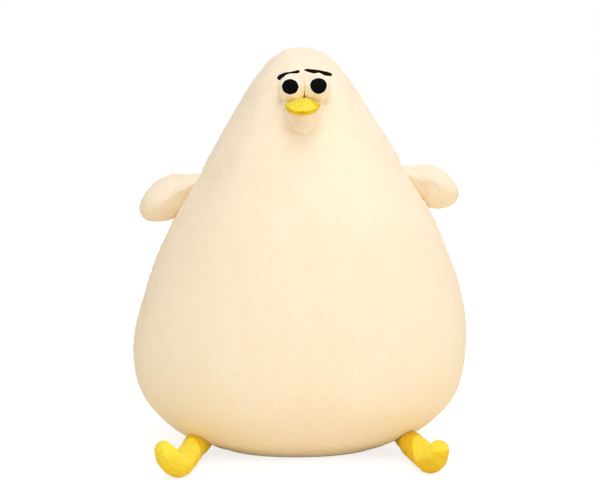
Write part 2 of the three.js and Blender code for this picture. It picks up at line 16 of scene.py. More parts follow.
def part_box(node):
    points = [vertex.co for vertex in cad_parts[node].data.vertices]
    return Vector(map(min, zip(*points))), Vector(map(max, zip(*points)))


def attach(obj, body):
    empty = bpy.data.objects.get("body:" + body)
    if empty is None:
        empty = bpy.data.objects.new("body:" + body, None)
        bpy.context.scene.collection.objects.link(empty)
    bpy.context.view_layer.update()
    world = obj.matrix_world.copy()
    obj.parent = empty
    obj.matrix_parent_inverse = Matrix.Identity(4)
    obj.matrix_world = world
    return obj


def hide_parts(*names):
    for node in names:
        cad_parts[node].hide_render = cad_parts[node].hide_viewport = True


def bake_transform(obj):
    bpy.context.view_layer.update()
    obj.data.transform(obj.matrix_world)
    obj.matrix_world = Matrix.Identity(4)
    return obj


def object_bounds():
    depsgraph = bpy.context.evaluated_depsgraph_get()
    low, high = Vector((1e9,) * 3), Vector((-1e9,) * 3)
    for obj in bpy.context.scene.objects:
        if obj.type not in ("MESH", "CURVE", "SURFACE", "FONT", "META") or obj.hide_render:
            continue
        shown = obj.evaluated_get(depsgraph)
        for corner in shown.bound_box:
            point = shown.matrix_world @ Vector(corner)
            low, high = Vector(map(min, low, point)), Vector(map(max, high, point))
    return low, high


bl_info = {
    "name": "Plush seagull pillow",
    "version": (1, 0, 0),
    "blender": (4, 5, 0),
    "location": "View3D > Sidebar > Seagull",
    "description": "Makes a stuffed seagull pillow, its fabrics and a plain stage",
    "category": "Object",
}

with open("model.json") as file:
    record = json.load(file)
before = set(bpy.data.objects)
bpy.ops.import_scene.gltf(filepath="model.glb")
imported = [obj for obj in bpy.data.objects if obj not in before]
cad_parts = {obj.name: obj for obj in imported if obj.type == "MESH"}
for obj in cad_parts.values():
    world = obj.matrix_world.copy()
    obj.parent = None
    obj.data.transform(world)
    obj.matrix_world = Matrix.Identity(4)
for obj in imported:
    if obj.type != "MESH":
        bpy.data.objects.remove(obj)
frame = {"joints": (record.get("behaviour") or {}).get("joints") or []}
CAD_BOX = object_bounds()

MM = 0.001
LEFT, RIGHT = 1, -1
SIDES = {"left": LEFT, "right": RIGHT}


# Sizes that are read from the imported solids


FRONT_PANEL_LOW, FRONT_PANEL_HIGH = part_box("body_front_panel")
BODY_WIDTH = FRONT_PANEL_HIGH[0] - FRONT_PANEL_LOW[0]
BODY_HEIGHT = CAD_BOX[1][2]
BODY_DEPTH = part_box("body_back_left_panel")[1][1] - FRONT_PANEL_LOW[1]
HINGES = {joint["child"]: Vector(joint["pos_m"]) for joint in frame["joints"]}


# Shapes shared by several pieces

# The body's front outline: how far up, as a share of the height, and how far out, as a share of
# half the width
BODY_OUTLINE = (
    (0, 0.457), (0.012, 0.535), (0.032, 0.655), (0.058, 0.768), (0.138, 0.938), (0.262, 1),
    (0.411, 0.934), (0.567, 0.785), (0.722, 0.574), (0.844, 0.394), (0.929, 0.26), (0.976, 0.15),
    (0.996, 0),
)
OUTLINE_SAMPLES = 60  # of the curve, between two points of the outline
BASE_RIM = 30 * MM  # width of the flat rim inside the base's edge
BASE_SEAM = 9 * MM  # height of the seam round the base
BODY_POWER = 2.2  # of the oval cross-section
BELLY_UP, HEAD_UP = 0.262, 0.89  # where the depth starts and stops changing, up the body
HEAD_ROUNDNESS = 0.86  # depth of the head for its width
BODY_LEAN = 3.9 * MM  # of the shoulders to the bird's left, where it leans most
LEAN_UP, LEAN_SPREAD = 0.6, 0.245  # where that is, up the body, and over how much of it
BELLY_LEAN = 2 * MM  # of the belly to the bird's right
BELLY_LEAN_UP, BELLY_LEAN_FADE = 0.15, 0.3  # up to where, and over how much it then fades


def smooth(t):
    """0 up to t = 0 and 1 from t = 1, with a curve between that starts and ends level."""
    t = np.clip(t, 0, 1)
    return t * t * (3 - 2 * t)


def power(value, exponent):
    """A power that keeps the value's sign."""
    return np.sign(value) * np.abs(value) ** exponent


def gauss(distance, width):
    """1 at no distance, and nearly 0 from twice the width on."""
    return np.exp(-((np.asarray(distance) / width) ** 2))


def catmull(points, samples):
    """Centripetal Catmull-Rom curve through 2-D points, with this many samples for each span."""
    points = np.array(points, float)
    ends = [2 * points[0] - points[1], *points, 2 * points[-1] - points[-2]]
    curve = []
    for p0, p1, p2, p3 in zip(ends, ends[1:], ends[2:], ends[3:]):
        d0, d1, d2 = (np.linalg.norm(b - a) ** 0.5 for a, b in ((p0, p1), (p1, p2), (p2, p3)))
        m1 = ((p1 - p0) / d0 - (p2 - p0) / (d0 + d1) + (p2 - p1) / d1) * d1
        m2 = ((p2 - p1) / d1 - (p3 - p1) / (d1 + d2) + (p3 - p2) / d2) * d1
        for t in np.arange(samples) / samples:
            c2, c3 = -3 * p1 + 3 * p2 - 2 * m1 - m2, 2 * p1 - 2 * p2 + m1 + m2
            curve.append(p1 + m1 * t + c2 * t * t + c3 * t**3)
    curve.append(points[-1])
    return np.array(curve)


class BodyForm:
    """The stuffed body's surface: a pear, as deep as its width asks for."""

    def __init__(self, width, height, depth):
        points = [(out * width / 2, up * height) for up, out in BODY_OUTLINE]
        points.insert(0, (points[0][0] - BASE_RIM, 0))
        points.append((-points[-2][0], points[-2][1]))
        to_crown = (len(points) - 2) * OUTLINE_SAMPLES + 1
        self.outline = catmull(points, OUTLINE_SAMPLES)[:to_crown]
        self.height = height
        self.depth_ratio = depth / width
        rising = self.outline[OUTLINE_SAMPLES:]
        self.heights, self.halves = rising[:, 1], rising[:, 0]

    def half_width(self, z):
        return np.interp(z, self.heights, self.halves)

    def lean(self, z):
        """How far the body's middle is to the bird's left."""
        up = np.asarray(z) / self.height
        belly = 1 - smooth((up - BELLY_LEAN_UP) / BELLY_LEAN_FADE)
        return BODY_LEAN * gauss(up - LEAN_UP, LEAN_SPREAD) - BELLY_LEAN * belly

    def ratio(self, z):
        """How deep the body is for its width."""
        up = (np.asarray(z) / self.height - BELLY_UP) / (HEAD_UP - BELLY_UP)
        return self.depth_ratio + (HEAD_ROUNDNESS - self.depth_ratio) * smooth(up)

    def front(self, x, z):
        """How far in front of the middle the surface is."""
        half = self.half_width(z)
        across = np.clip(1 - (np.abs(x - self.lean(z)) / half) ** BODY_POWER, 0, 1)
        return half * self.ratio(z) * across ** (1 / BODY_POWER)

    def point(self, half, z, angle):
        """The surface at an angle round the body, for half its width at a height."""
        x = self.lean(z) + half * power(np.cos(angle), 2 / BODY_POWER)
        y = half * self.ratio(z) * power(np.sin(angle), 2 / BODY_POWER)
        return np.stack([x, y, np.broadcast_to(z, x.shape)], -1)

    def value(self, p):
        """1 on the surface, less inside."""
        half = np.maximum(self.half_width(p[:, 2]), MM)
        deep = half * self.ratio(p[:, 2])
        x = np.abs(p[:, 0] - self.lean(p[:, 2]))
        return (x / half) ** BODY_POWER + (np.abs(p[:, 1]) / deep) ** BODY_POWER

    def slope(self, points):
        """How fast the value grows in each direction."""
        step = 0.5 * MM
        ends = [(points + step * axis, points - step * axis) for axis in np.eye(3)]
        return np.stack([(self.value(a) - self.value(b)) / (2 * step) for a, b in ends], -1)

    def normal(self, points):
        """Outward normals near the surface, from the form's own equation."""
        slope = self.slope(points)
        return slope / np.maximum(np.linalg.norm(slope, axis=1, keepdims=True), 1e-9)

    def depth_of(self, points):
        """About how deep each point is below the surface, and the way out."""
        slope = self.slope(points)
        steep = np.maximum(np.linalg.norm(slope, axis=1), 1e-9)
        return (1 - self.value(points)) / steep, slope / steep[:, None]


BODY = BodyForm(BODY_WIDTH, BODY_HEIGHT, BODY_DEPTH)


def resampled(curve, spacing):
    """Points at even spacing along a curve."""
    along = np.concatenate([[0], np.cumsum(np.linalg.norm(np.diff(curve, axis=0), axis=1))])
    count = max(2, round(along[-1] / spacing) + 1)
    at = np.linspace(0, along[-1], count)
    return np.stack([np.interp(at, along, curve[:, axis]) for axis in range(curve.shape[1])], -1)


def mesh_object(name, vertices, faces, material=None):
    """A smooth-shaded mesh, linked into the scene."""
    mesh = bpy.data.meshes.new(name)
    mesh.from_pydata([tuple(map(float, v)) for v in vertices], [], faces)
    mesh.validate()
    mesh.update()
    obj = bpy.data.objects.new(name, mesh)
    bpy.context.scene.collection.objects.link(obj)
    mesh.polygons.foreach_set("use_smooth", [True] * len(mesh.polygons))
    if material:
        mesh.materials.append(material)
    return obj


def loft(name, rings, material=None, closed=False):
    """A closed mesh through rings of points.

    A ring of one point closes an end, and closed joins the last ring to the first instead.
    """
    vertices, starts = [], []
    for ring in rings:
        starts.append(len(vertices))
        vertices.extend(ring)
    faces = []
    for i in range(len(rings) if closed else len(rings) - 1):
        j = (i + 1) % len(rings)
        a, b = len(rings[i]), len(rings[j])
        for k in range(max(a, b)):
            m = (k + 1) % max(a, b)
            corners = [starts[i] + k % a, starts[i] + m % a, starts[j] + m % b, starts[j] + k % b]
            faces.append(list(dict.fromkeys(corners)))
    obj = mesh_object(name, vertices, faces, material)
    face_out(obj)
    return obj


def face_out(obj):
    """Turns the faces of a closed mesh to the outside."""
    edit = bmesh.new()
    edit.from_mesh(obj.data)
    bmesh.ops.recalc_face_normals(edit, faces=edit.faces)
    if edit.calc_volume(signed=True) < 0:
        bmesh.ops.reverse_faces(edit, faces=edit.faces)
    edit.to_mesh(obj.data)
    edit.free()


def vertex_values(mesh, kind):
    """The place or the normal of each vertex."""
    values = np.empty(len(mesh.vertices) * 3)
    mesh.vertices.foreach_get(kind, values)
    return values.reshape(-1, 3)


def coordinates(obj):
    return vertex_values(obj.data, "co")


def set_coordinates(obj, values):
    obj.data.vertices.foreach_set("co", np.asarray(values, float).ravel())
    obj.data.update()


def vertex_normals(obj):
    return vertex_values(obj.data, "normal")


def applied(obj):
    """Puts the result of the object's modifiers into its own mesh."""
    graph = bpy.context.evaluated_depsgraph_get()
    made = bpy.data.meshes.new_from_object(obj.evaluated_get(graph))
    old = obj.data
    obj.modifiers.clear()
    obj.data = made
    made.name = old.name
    bpy.data.meshes.remove(old)
    made.polygons.foreach_set("use_smooth", [True] * len(made.polygons))


def with_modifier(obj, kind, **settings):
    """Runs one modifier on the object's own mesh."""
    modifier = obj.modifiers.new(kind.title(), kind)
    for key, value in settings.items():
        setattr(modifier, key, value)
    applied(obj)


def joined(name, objects, voxel, material):
    """One even skin round overlapping meshes, which it takes the place of."""
    vertices, faces = [], []
    for obj in objects:
        start = len(vertices)
        vertices.extend(coordinates(obj))
        faces.extend([[start + i for i in face.vertices] for face in obj.data.polygons])
    for obj in objects:
        bpy.data.meshes.remove(obj.data)
    skin = mesh_object(name, vertices, faces)
    with_modifier(skin, "REMESH", mode="VOXEL", voxel_size=voxel)
    with_modifier(skin, "SMOOTH", factor=0.5, iterations=4)
    skin.data.materials.append(material)
    return skin


CLOTH_FRAMES = 20  # in which a skin swells and settles


def stuff(obj, pinned, cap, pressure, slack):
    """Swells a fabric skin with cloth simulation. Pinned vertices, such as seams, stay put.

    No vertex moves farther than the cap, and slack is the share by which the fabric is cut larger.
    """
    before = coordinates(obj)
    group = obj.vertex_groups.new(name="pinned")
    group.add([int(i) for i in np.flatnonzero(pinned)], 1.0, "REPLACE")
    scene = bpy.context.scene
    cloth = obj.modifiers.new("Cloth", "CLOTH")
    settings = cloth.settings
    settings.quality = 6
    settings.mass = 0.3
    settings.tension_stiffness = settings.compression_stiffness = 15
    settings.shear_stiffness = 10
    settings.bending_stiffness = 0.8
    settings.use_pressure = True
    settings.uniform_pressure_force = pressure
    settings.shrink_min = -slack
    settings.vertex_group_mass = group.name
    settings.pin_stiffness = 10
    settings.effector_weights.gravity = 0
    cloth.point_cache.frame_start, cloth.point_cache.frame_end = 1, CLOTH_FRAMES
    cloth.collision_settings.use_collision = False
    for step in range(1, CLOTH_FRAMES + 1):
        scene.frame_set(step)
    graph = bpy.context.evaluated_depsgraph_get()
    after = vertex_values(obj.evaluated_get(graph).to_mesh(), "co")
    obj.evaluated_get(graph).to_mesh_clear()
    obj.modifiers.clear()
    scene.frame_set(1)
    obj.vertex_groups.clear()
    moved = after - before
    length = np.linalg.norm(moved, axis=1, keepdims=True)
    limit = cap * np.tanh(length / cap) / np.maximum(length, 1e-9)
    set_coordinates(obj, before + moved * limit)


def stuffed_finely(obj, pinned, cap):
    """Swells a small piece's skin and refines its mesh. Returns its points and normals."""
    stuff(obj, pinned, cap, pressure=5.0, slack=0.02)
    with_modifier(obj, "SUBSURF", levels=1)
    return coordinates(obj), vertex_normals(obj)


def waves(points, sizes, seed):
    """A smooth random value of about -1 to 1 at each point, for wandering unevenness."""
    random = np.random.default_rng(seed)
    total = np.zeros(len(points))
    for size in sizes:
        for _ in range(5):
            direction = random.normal(size=3)
            direction *= 2 * math.pi / size / np.linalg.norm(direction)
            total += np.sin(points @ direction + random.uniform(0, 2 * math.pi))
    return total / (2.5 * len(sizes))


# Materials


def new_group(name, inputs, outputs):
    """An empty node group with named sockets."""
    tree = bpy.data.node_groups.new(name, "ShaderNodeTree")
    for label, kind, default in inputs:
        socket = tree.interface.new_socket(label, in_out="INPUT", socket_type=kind)
        socket.default_value = default
    for label, kind in outputs:
        tree.interface.new_socket(label, in_out="OUTPUT", socket_type=kind)
    source = tree.nodes.new("NodeGroupInput")
    sink = tree.nodes.new("NodeGroupOutput")
    return tree, source, sink


def node(tree, kind, settings=(), values=(), links=()):
    """One node, with its settings, socket values and incoming links."""
    made = tree.nodes.new(kind)
    for key, value in dict(settings).items():
        setattr(made, key, value)
    for key, value in dict(values).items():
        made.inputs[key].default_value = value
    for key, source in dict(links).items():
        tree.links.new(source, made.inputs[key])
    return made


def math_node(tree, operation, a, b, clamp=False):
    """The result of a sum or the like of two values, each a number or a socket."""
    made = tree.nodes.new("ShaderNodeMath")
    made.operation = operation
    made.use_clamp = clamp
    for index, value in enumerate((a, b)):
        if isinstance(value, (int, float)):
            made.inputs[index].default_value = value
        else:
            tree.links.new(value, made.inputs[index])
    return made.outputs[0]


def mix_colour(tree, factor, a, b):
    """A colour between a and b, each of the three a value or a socket."""
    made = tree.nodes.new("ShaderNodeMix")
    made.data_type = "RGBA"
    for index, value in ((0, factor), (6, a), (7, b)):  # the sockets of a colour mix
        if isinstance(value, (int, float, tuple)):
            made.inputs[index].default_value = value
        else:
            tree.links.new(value, made.inputs[index])
    return made.outputs[2]


def noise(tree, values, links):
    """A noise texture's value."""
    return node(tree, "ShaderNodeTexNoise", values=values, links=links).outputs["Fac"]


def map_range(tree, value, start, end, to_start, to_end):
    """The value, mapped from one range to another and kept within it."""
    values = {"From Min": start, "From Max": end, "To Min": to_start, "To Max": to_end}
    return node(tree, "ShaderNodeMapRange", values=values, links={"Value": value}).outputs[0]


FABRIC_OUTPUTS = (
    ("Colour", "NodeSocketColor"),
    ("Roughness", "NodeSocketFloat"),
    ("Height", "NodeSocketFloat"),
)


def pile_group():
    """Short pile: tufts of fine fibre with painted shade between them, and patches brushed one way
    or the other.
    """
    tree, source, sink = new_group(
        "Short pile",
        [
            ("Colour", "NodeSocketColor", (0.9, 0.8, 0.6, 1)),
            ("Gap Shade And Patch Colour", "NodeSocketColor", (0.7, 0.5, 0.3, 1)),
            ("Tuft Size", "NodeSocketFloat", 1.6),
            ("Brushed", "NodeSocketFloat", 0.5),
            ("Roughness", "NodeSocketFloat", 0.9),
        ],
        FABRIC_OUTPUTS,
    )
    take = source.outputs
    place = node(tree, "ShaderNodeTexCoord").outputs["Object"]
    combed = node(
        tree, "ShaderNodeMapping", values={"Scale": (1, 1, 0.55)}, links={"Vector": place}
    ).outputs[0]
    density = math_node(tree, "DIVIDE", 1000, take["Tuft Size"])  # tufts in a metre, sizes in mm
    fine = math_node(tree, "MULTIPLY", density, 2.6)
    tufts = noise(
        tree,
        {"Detail": 3, "Roughness": 0.55, "Distortion": 0.6},
        {"Vector": combed, "Scale": density},
    )
    fibres = noise(tree, {"Detail": 2, "Roughness": 0.6}, {"Vector": combed, "Scale": fine})
    brushed = noise(
        tree, {"Scale": 22, "Detail": 4, "Roughness": 0.6, "Distortion": 0.8}, {"Vector": combed}
    )
    height = math_node(tree, "ADD", tufts, math_node(tree, "MULTIPLY", fibres, 0.45))
    # painted shade: the gaps between tufts take the darker colour, and brushed patches take a
    # little of it as uneven tone
    painted_gap_shade = map_range(tree, tufts, 0.62, 0.4, 0, 0.3)
    patches = map_range(tree, brushed, 0.38, 0.66, 0, 0.2)
    patches = math_node(tree, "MULTIPLY", patches, take["Brushed"])
    depth = math_node(tree, "ADD", painted_gap_shade, patches, clamp=True)
    colour = mix_colour(tree, depth, take["Colour"], take["Gap Shade And Patch Colour"])
    rough = math_node(tree, "MULTIPLY", brushed, 0.12)
    evened = math_node(tree, "SUBTRACT", take["Roughness"], 0.06)
    rough = math_node(tree, "ADD", rough, evened, clamp=True)
    tree.links.new(colour, sink.inputs["Colour"])
    tree.links.new(rough, sink.inputs["Roughness"])
    tree.links.new(height, sink.inputs["Height"])
    return tree


def felt_group():
    """Felt: matted fibres lying every way, with a slight bloom of loose ones."""
    tree, source, sink = new_group(
        "Felt",
        [
            ("Colour", "NodeSocketColor", (0.02, 0.02, 0.02, 1)),
            ("Fibre Colour", "NodeSocketColor", (0.08, 0.08, 0.08, 1)),
            ("Fibre Size", "NodeSocketFloat", 0.5),
        ],
        FABRIC_OUTPUTS,
    )
    take = source.outputs
    place = node(tree, "ShaderNodeTexCoord").outputs["Object"]
    density = math_node(tree, "DIVIDE", 1000, take["Fibre Size"])
    matted = noise(
        tree,
        {"Detail": 4, "Roughness": 0.7, "Distortion": 2.5},
        {"Vector": place, "Scale": density},
    )
    bloom = map_range(tree, matted, 0.5, 0.75, 0, 0.6)
    colour = mix_colour(tree, bloom, take["Colour"], take["Fibre Colour"])
    rough = math_node(tree, "ADD", math_node(tree, "MULTIPLY", matted, 0.1), 0.86, clamp=True)
    tree.links.new(colour, sink.inputs["Colour"])
    tree.links.new(rough, sink.inputs["Roughness"])
    tree.links.new(matted, sink.inputs["Height"])
    return tree


def fabric(name, tree, values, sheen, sheen_tint, bump, relief, gloss=0.15):
    """A material whose surface comes from a node group of fabric.

    Relief is the height of the fabric's grain in metres, and bump how strongly it shows.
    """
    material = bpy.data.materials.new(name)
    material.use_nodes = True
    nodes = material.node_tree
    shader = nodes.nodes["Principled BSDF"]
    cloth = nodes.nodes.new("ShaderNodeGroup")
    cloth.node_tree = tree
    for key, value in values.items():
        cloth.inputs[key].default_value = value
    raised = node(
        nodes, "ShaderNodeBump",
        values={"Strength": bump, "Distance": relief},
        links={"Height": cloth.outputs["Height"]},
    )
    nodes.links.new(cloth.outputs["Colour"], shader.inputs["Base Color"])
    nodes.links.new(cloth.outputs["Roughness"], shader.inputs["Roughness"])
    nodes.links.new(raised.outputs[0], shader.inputs["Normal"])
    shader.inputs["Specular IOR Level"].default_value = gloss
    shader.inputs["Sheen Weight"].default_value = sheen
    shader.inputs["Sheen Roughness"].default_value = 0.45
    shader.inputs["Sheen Tint"].default_value = sheen_tint
    return material


def mix_in_painted_shade(material, colours):
    """Mixes these darker colours into a plush as painted shade, as much as each piece's stored
    value asks.
    """
    tree = material.node_tree
    pile = next(item for item in tree.nodes if item.type == "GROUP")
    nap = node(tree, "ShaderNodeAttribute", {"attribute_name": "nap"}).outputs["Fac"]
    for label, other in colours.items():
        own = tuple(pile.inputs[label].default_value)
        tree.links.new(mix_colour(tree, nap, own, other), pile.inputs[label])


def lay_painted_shade(obj, values):
    """Stores how much painted shade each point gets, from 0 to 1."""
    layer = obj.data.attributes.new("nap", "FLOAT", "POINT")
    layer.data.foreach_set("value", np.clip(values, 0, 1).astype(np.float32))


def linear(colour):
    """An sRGB colour of 0 to 255 as linear values with alpha."""
    shares = [channel / 255 for channel in colour]
    return tuple(s / 12.92 if s <= 0.04045 else ((s + 0.055) / 1.055) ** 2.4 for s in shares) + (1,)


def opaque(colour):
    return (*colour, 1)


FABRICS = ("Cream plush", "Yellow plush", "Black felt", "White felt")


def materials(context):
    """The four fabrics in their order, made the first time that they are asked for."""
    if FABRICS[0] in bpy.data.materials:
        return [bpy.data.materials[name] for name in FABRICS]
    colours = context.scene.gull_colours
    pile, felt = pile_group(), felt_group()
    # each pile's deeper colour is painted shade for the gaps between its tufts
    cream_pile = {
        "Colour": opaque(colours.cream), "Gap Shade And Patch Colour": opaque(colours.cream_gap_shade), "Brushed": 0.6,
    }
    yellow_pile = {
        "Colour": opaque(colours.yellow), "Gap Shade And Patch Colour": opaque(colours.yellow_gap_shade),
        "Brushed": 0.9, "Tuft Size": 1.4,
    }
    black_felt = {"Colour": opaque(colours.black), "Fibre Colour": (0.01, 0.009, 0.008, 1)}
    white_felt = {"Colour": opaque(colours.white), "Fibre Colour": (1, 1, 0.98, 1)}
    made = [
        fabric(
            FABRICS[0], pile, cream_pile,
            sheen=0.12, sheen_tint=(1, 0.96, 0.88, 1), bump=0.35, relief=0.5 * MM,
        ),
        fabric(
            FABRICS[1], pile, yellow_pile,
            sheen=0.1, sheen_tint=(1, 0.92, 0.5, 1), bump=0.35, relief=0.5 * MM,
        ),
        fabric(
            FABRICS[2], felt, black_felt,
            sheen=0.01, sheen_tint=(0.8, 0.8, 0.8, 1), bump=0.5, relief=0.25 * MM, gloss=0.05,
        ),
        fabric(
            FABRICS[3], felt, white_felt,
            sheen=0.1, sheen_tint=(1, 1, 1, 1), bump=0.4, relief=0.2 * MM,
        ),
    ]
    # painted shade: darker yellows that the beak and legs take where they fall in shade
    shaded = {
        "Colour": opaque(colours.shaded_yellow), "Gap Shade And Patch Colour": opaque(colours.shaded_deep),
    }
    mix_in_painted_shade(made[1], shaded)
    return made


# Settings that a user would change


def length_setting(name, description, default):
    return FloatProperty(
        name=name, description=description, default=default, min=0,
        unit="LENGTH", subtype="DISTANCE",
    )


def share_setting(name, description):
    return FloatProperty(name=name, description=description, default=1, min=0.5, max=1.5)


def colour_setting(name, description, srgb):
    return FloatVectorProperty(
        name=name, description=description, default=linear(srgb)[:3], size=3, min=0, max=1,
        subtype="COLOR",
    )


class GullSizes(bpy.types.PropertyGroup):
    """Sizes of the stuffed pieces."""

    fabric_grid: length_setting("Fabric grid", "Spacing of the body's mesh", 5 * MM)
    swell: length_setting("Swell", "How far the body's panels may swell", 4 * MM)
    muzzle_width: length_setting("Muzzle width", "Across, at the beak", 44 * MM)
    muzzle_height: length_setting("Muzzle height", "From the chin up", 48 * MM)
    eye_diameter: length_setting("Eye", "Diameter of the eyeballs", 27.2 * MM)
    pupil_diameter: length_setting("Pupil", "Diameter of the pupils", 16.6 * MM)
    eye_rim_diameter: length_setting("Eye rim", "Outer diameter of the white rim", 19.2 * MM)
    beak_length: length_setting("Beak length", "From its hidden end to the tip", 40 * MM)
    beak_width: length_setting("Beak width", "At the corners", 38.5 * MM)
    wing_length_left: length_setting("Left flipper", "From the seam to the tip", 64.5 * MM)
    wing_length_right: length_setting("Right flipper", "From the seam to the tip", 73 * MM)
    wing_chord: length_setting("Flipper chord", "From front to back", 62 * MM)
    wing_fullness: share_setting("Flipper fullness", "Thickness, for the pattern's own")
    leg_girth: share_setting("Leg girth", "Thickness, for the pattern's own")


class GullColours(bpy.types.PropertyGroup):
    """Colours of the fabrics."""

    cream: colour_setting("Cream", "Tips of the cream pile", (254, 242, 222))
    # the deeper cream is painted shade for the gaps between the tufts
    cream_gap_shade: colour_setting("Deep cream", "Between the cream tufts", (247, 219, 178))
    yellow: colour_setting("Yellow", "Tips of the yellow pile", (254, 237, 79))
    # the deeper yellow is painted shade for the gaps between the tufts
    yellow_gap_shade: colour_setting("Deep yellow", "Between the yellow tufts", (243, 197, 36))
    # the shaded yellows are painted shade, laid on the beak's lip and fold and on the legs' cuffs
    # and undersides
    shaded_yellow: colour_setting(
        "Shaded yellow", "Tips where the pile lies the other way", (242, 205, 46)
    )
    shaded_deep: colour_setting("Deep shaded yellow", "Between those tufts", (224, 166, 18))
    black: colour_setting("Black", "Pupils and brows", (11, 10, 9))
    white: colour_setting("White", "Rims round the pupils, edges of the brows", (252, 249, 240))


class PieceOperator:
    """What the operators share."""

    bl_options = {"REGISTER", "UNDO"}


def finished(obj, body, nodes):
    """Declares a piece that moves with one body."""
    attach(obj, body)
    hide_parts(*nodes)


def finished_limb(obj, body):
    """Bakes a limb's piece in place and hides the limb's imported parts."""
    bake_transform(obj)
    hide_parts(*(f"{body}_{part}" for part in ("outer_panel", "inner_panel", "fill")))


# Body


def graded(seams, count, near):
    """Angles round the body, closer together beside the seams."""
    full_turn = 2 * math.pi
    angles = set(np.round(np.linspace(0, full_turn, count, endpoint=False), 6))
    spacing = full_turn / count
    for seam in seams:
        angles = {a for a in angles if abs((a - seam + math.pi) % full_turn - math.pi) > spacing}
        angles |= {round((seam + step) % full_turn, 6) for step in near}
    return np.array(sorted(angles))


class GULL_OT_body(PieceOperator, bpy.types.Operator):
    """Make the stuffed body from its front, back and base panels"""

    bl_idname = "gull.body"
    bl_label = "Body"

    SEAMS = (0, math.pi, math.pi / 2)  # angles of the two side seams and the back seam
    NEAR_SEAM = (-0.024, -0.012, -0.005, 0, 0.005, 0.012, 0.024)  # extra angles beside a seam
    PINNED = {"seams": 3 * MM, "base": 2 * MM, "floor": 4 * MM}  # how close to each is sewn fast
    GROOVE, GROOVE_WIDTH = 1.3 * MM, 2.2 * MM  # the dip along a seam
    BASE_GROOVE, BASE_GROOVE_WIDTH = 0.3, 1.6 * MM  # the base seam's, as a share of the others'
    GATHER, GATHER_SPACING, GATHER_REACH = 0.35 * MM, 9 * MM, 14 * MM  # of the fabric at a seam
    UNEVEN = 0.9 * MM  # of the stuffing
    SHOULDER_TUCK, SHOULDER_REACH = 2.0 * MM, 17 * MM  # round the flippers' roots
    HIP_TUCK, HIP_REACH = 0.8 * MM, 15 * MM  # round the legs' roots
    STITCH = (-10 * MM, -47 * MM, 5.5 * MM)  # from the shoulder: outward, back and up
    STITCH_DIMPLE, STITCH_REACH = 2.6 * MM, 4 * MM

    def execute(self, context):
        sizes = context.scene.gull_sizes
        cream = materials(context)[0]
        rows = resampled(BODY.outline, sizes.fabric_grid)
        around = round(math.pi * (BODY_WIDTH + BODY_DEPTH) / 2 / sizes.fabric_grid / 4) * 4
        angles = graded(self.SEAMS, around, self.NEAR_SEAM)
        rings = [[(0, 0, 0)]]
        for share in (0.25, 0.5, 0.75):
            rings.append(BODY.point(rows[0][0] * share, 0.0, angles))
        for half, z in rows[:-1]:
            rings.append(BODY.point(half, z, angles))
        crown = rows[-1][1]
        rings.append([(BODY.lean(crown), 0, crown)])
        body = loft("body_plush", rings, cream)
        place = coordinates(body)
        seams, base = self.seam_distances(place)
        pinned = (seams < self.PINNED["seams"]) | (base < self.PINNED["base"])
        pinned |= place[:, 2] < self.PINNED["floor"]
        stuff(body, pinned, sizes.swell, pressure=2.0, slack=0.004)
        self.sew(body)
        nodes = ("body_front_panel", "body_back_left_panel", "body_back_right_panel")
        finished(body, "body", (*nodes, "body_base_panel", "body_fill"))
        return {"FINISHED"}

    @staticmethod
    def seam_distances(place):
        """How far each point is from the side and back seams, and from the base seam."""
        side = np.abs(place[:, 1])
        back = np.where(place[:, 1] > 0, np.abs(place[:, 0]), np.inf)
        base = np.abs(place[:, 2] - BASE_SEAM)
        return np.minimum(side, back), base

    def sew(self, body):
        """Seam grooves with their gathers, tucks at the limbs, and a little unevenness."""
        place = coordinates(body)
        normal = vertex_normals(body)
        seams, base = self.seam_distances(place)
        above = smooth((place[:, 2] - 6 * MM) / (8 * MM))  # the base stays flat
        base_groove = self.BASE_GROOVE * gauss(base, self.BASE_GROOVE_WIDTH)
        groove = np.maximum(gauss(seams, self.GROOVE_WIDTH) * above, base_groove)
        round_base = np.arctan2(place[:, 1], place[:, 0]) * 80 * MM
        along = np.where(base < seams, round_base, place[:, 2])
        wander = 2 * waves(place, (40 * MM,), 3)
        gathers = np.sin(along / self.GATHER_SPACING * 2 * math.pi + wander)
        near = gauss(np.minimum(seams, base), self.GATHER_REACH) - groove
        move = -self.GROOVE * groove + self.GATHER * gathers * np.clip(near, 0, 1) * above
        move += self.UNEVEN * waves(place, (140 * MM, 90 * MM), 7) * above
        for name, side in SIDES.items():
            shoulder = np.array(HINGES["wing_" + name])
            off_shoulder = np.linalg.norm((place - shoulder) * (1, 0.55, 1), axis=1)
            move -= self.SHOULDER_TUCK * gauss(off_shoulder, self.SHOULDER_REACH)
            stitch = shoulder + np.array(self.STITCH) * (side, 1, 1)
            off_stitch = np.linalg.norm((place - stitch) * (0.45, 0.45, 1), axis=1)
            move -= self.STITCH_DIMPLE * gauss(off_stitch, self.STITCH_REACH)
            off_hip = np.linalg.norm(place - np.array(HINGES["leg_" + name]), axis=1)
            move -= self.HIP_TUCK * gauss(off_hip, self.HIP_REACH)
        place = place + normal * move[:, None]
        place[:, 2] = np.maximum(place[:, 2], 0)
        set_coordinates(body, place)


# Face


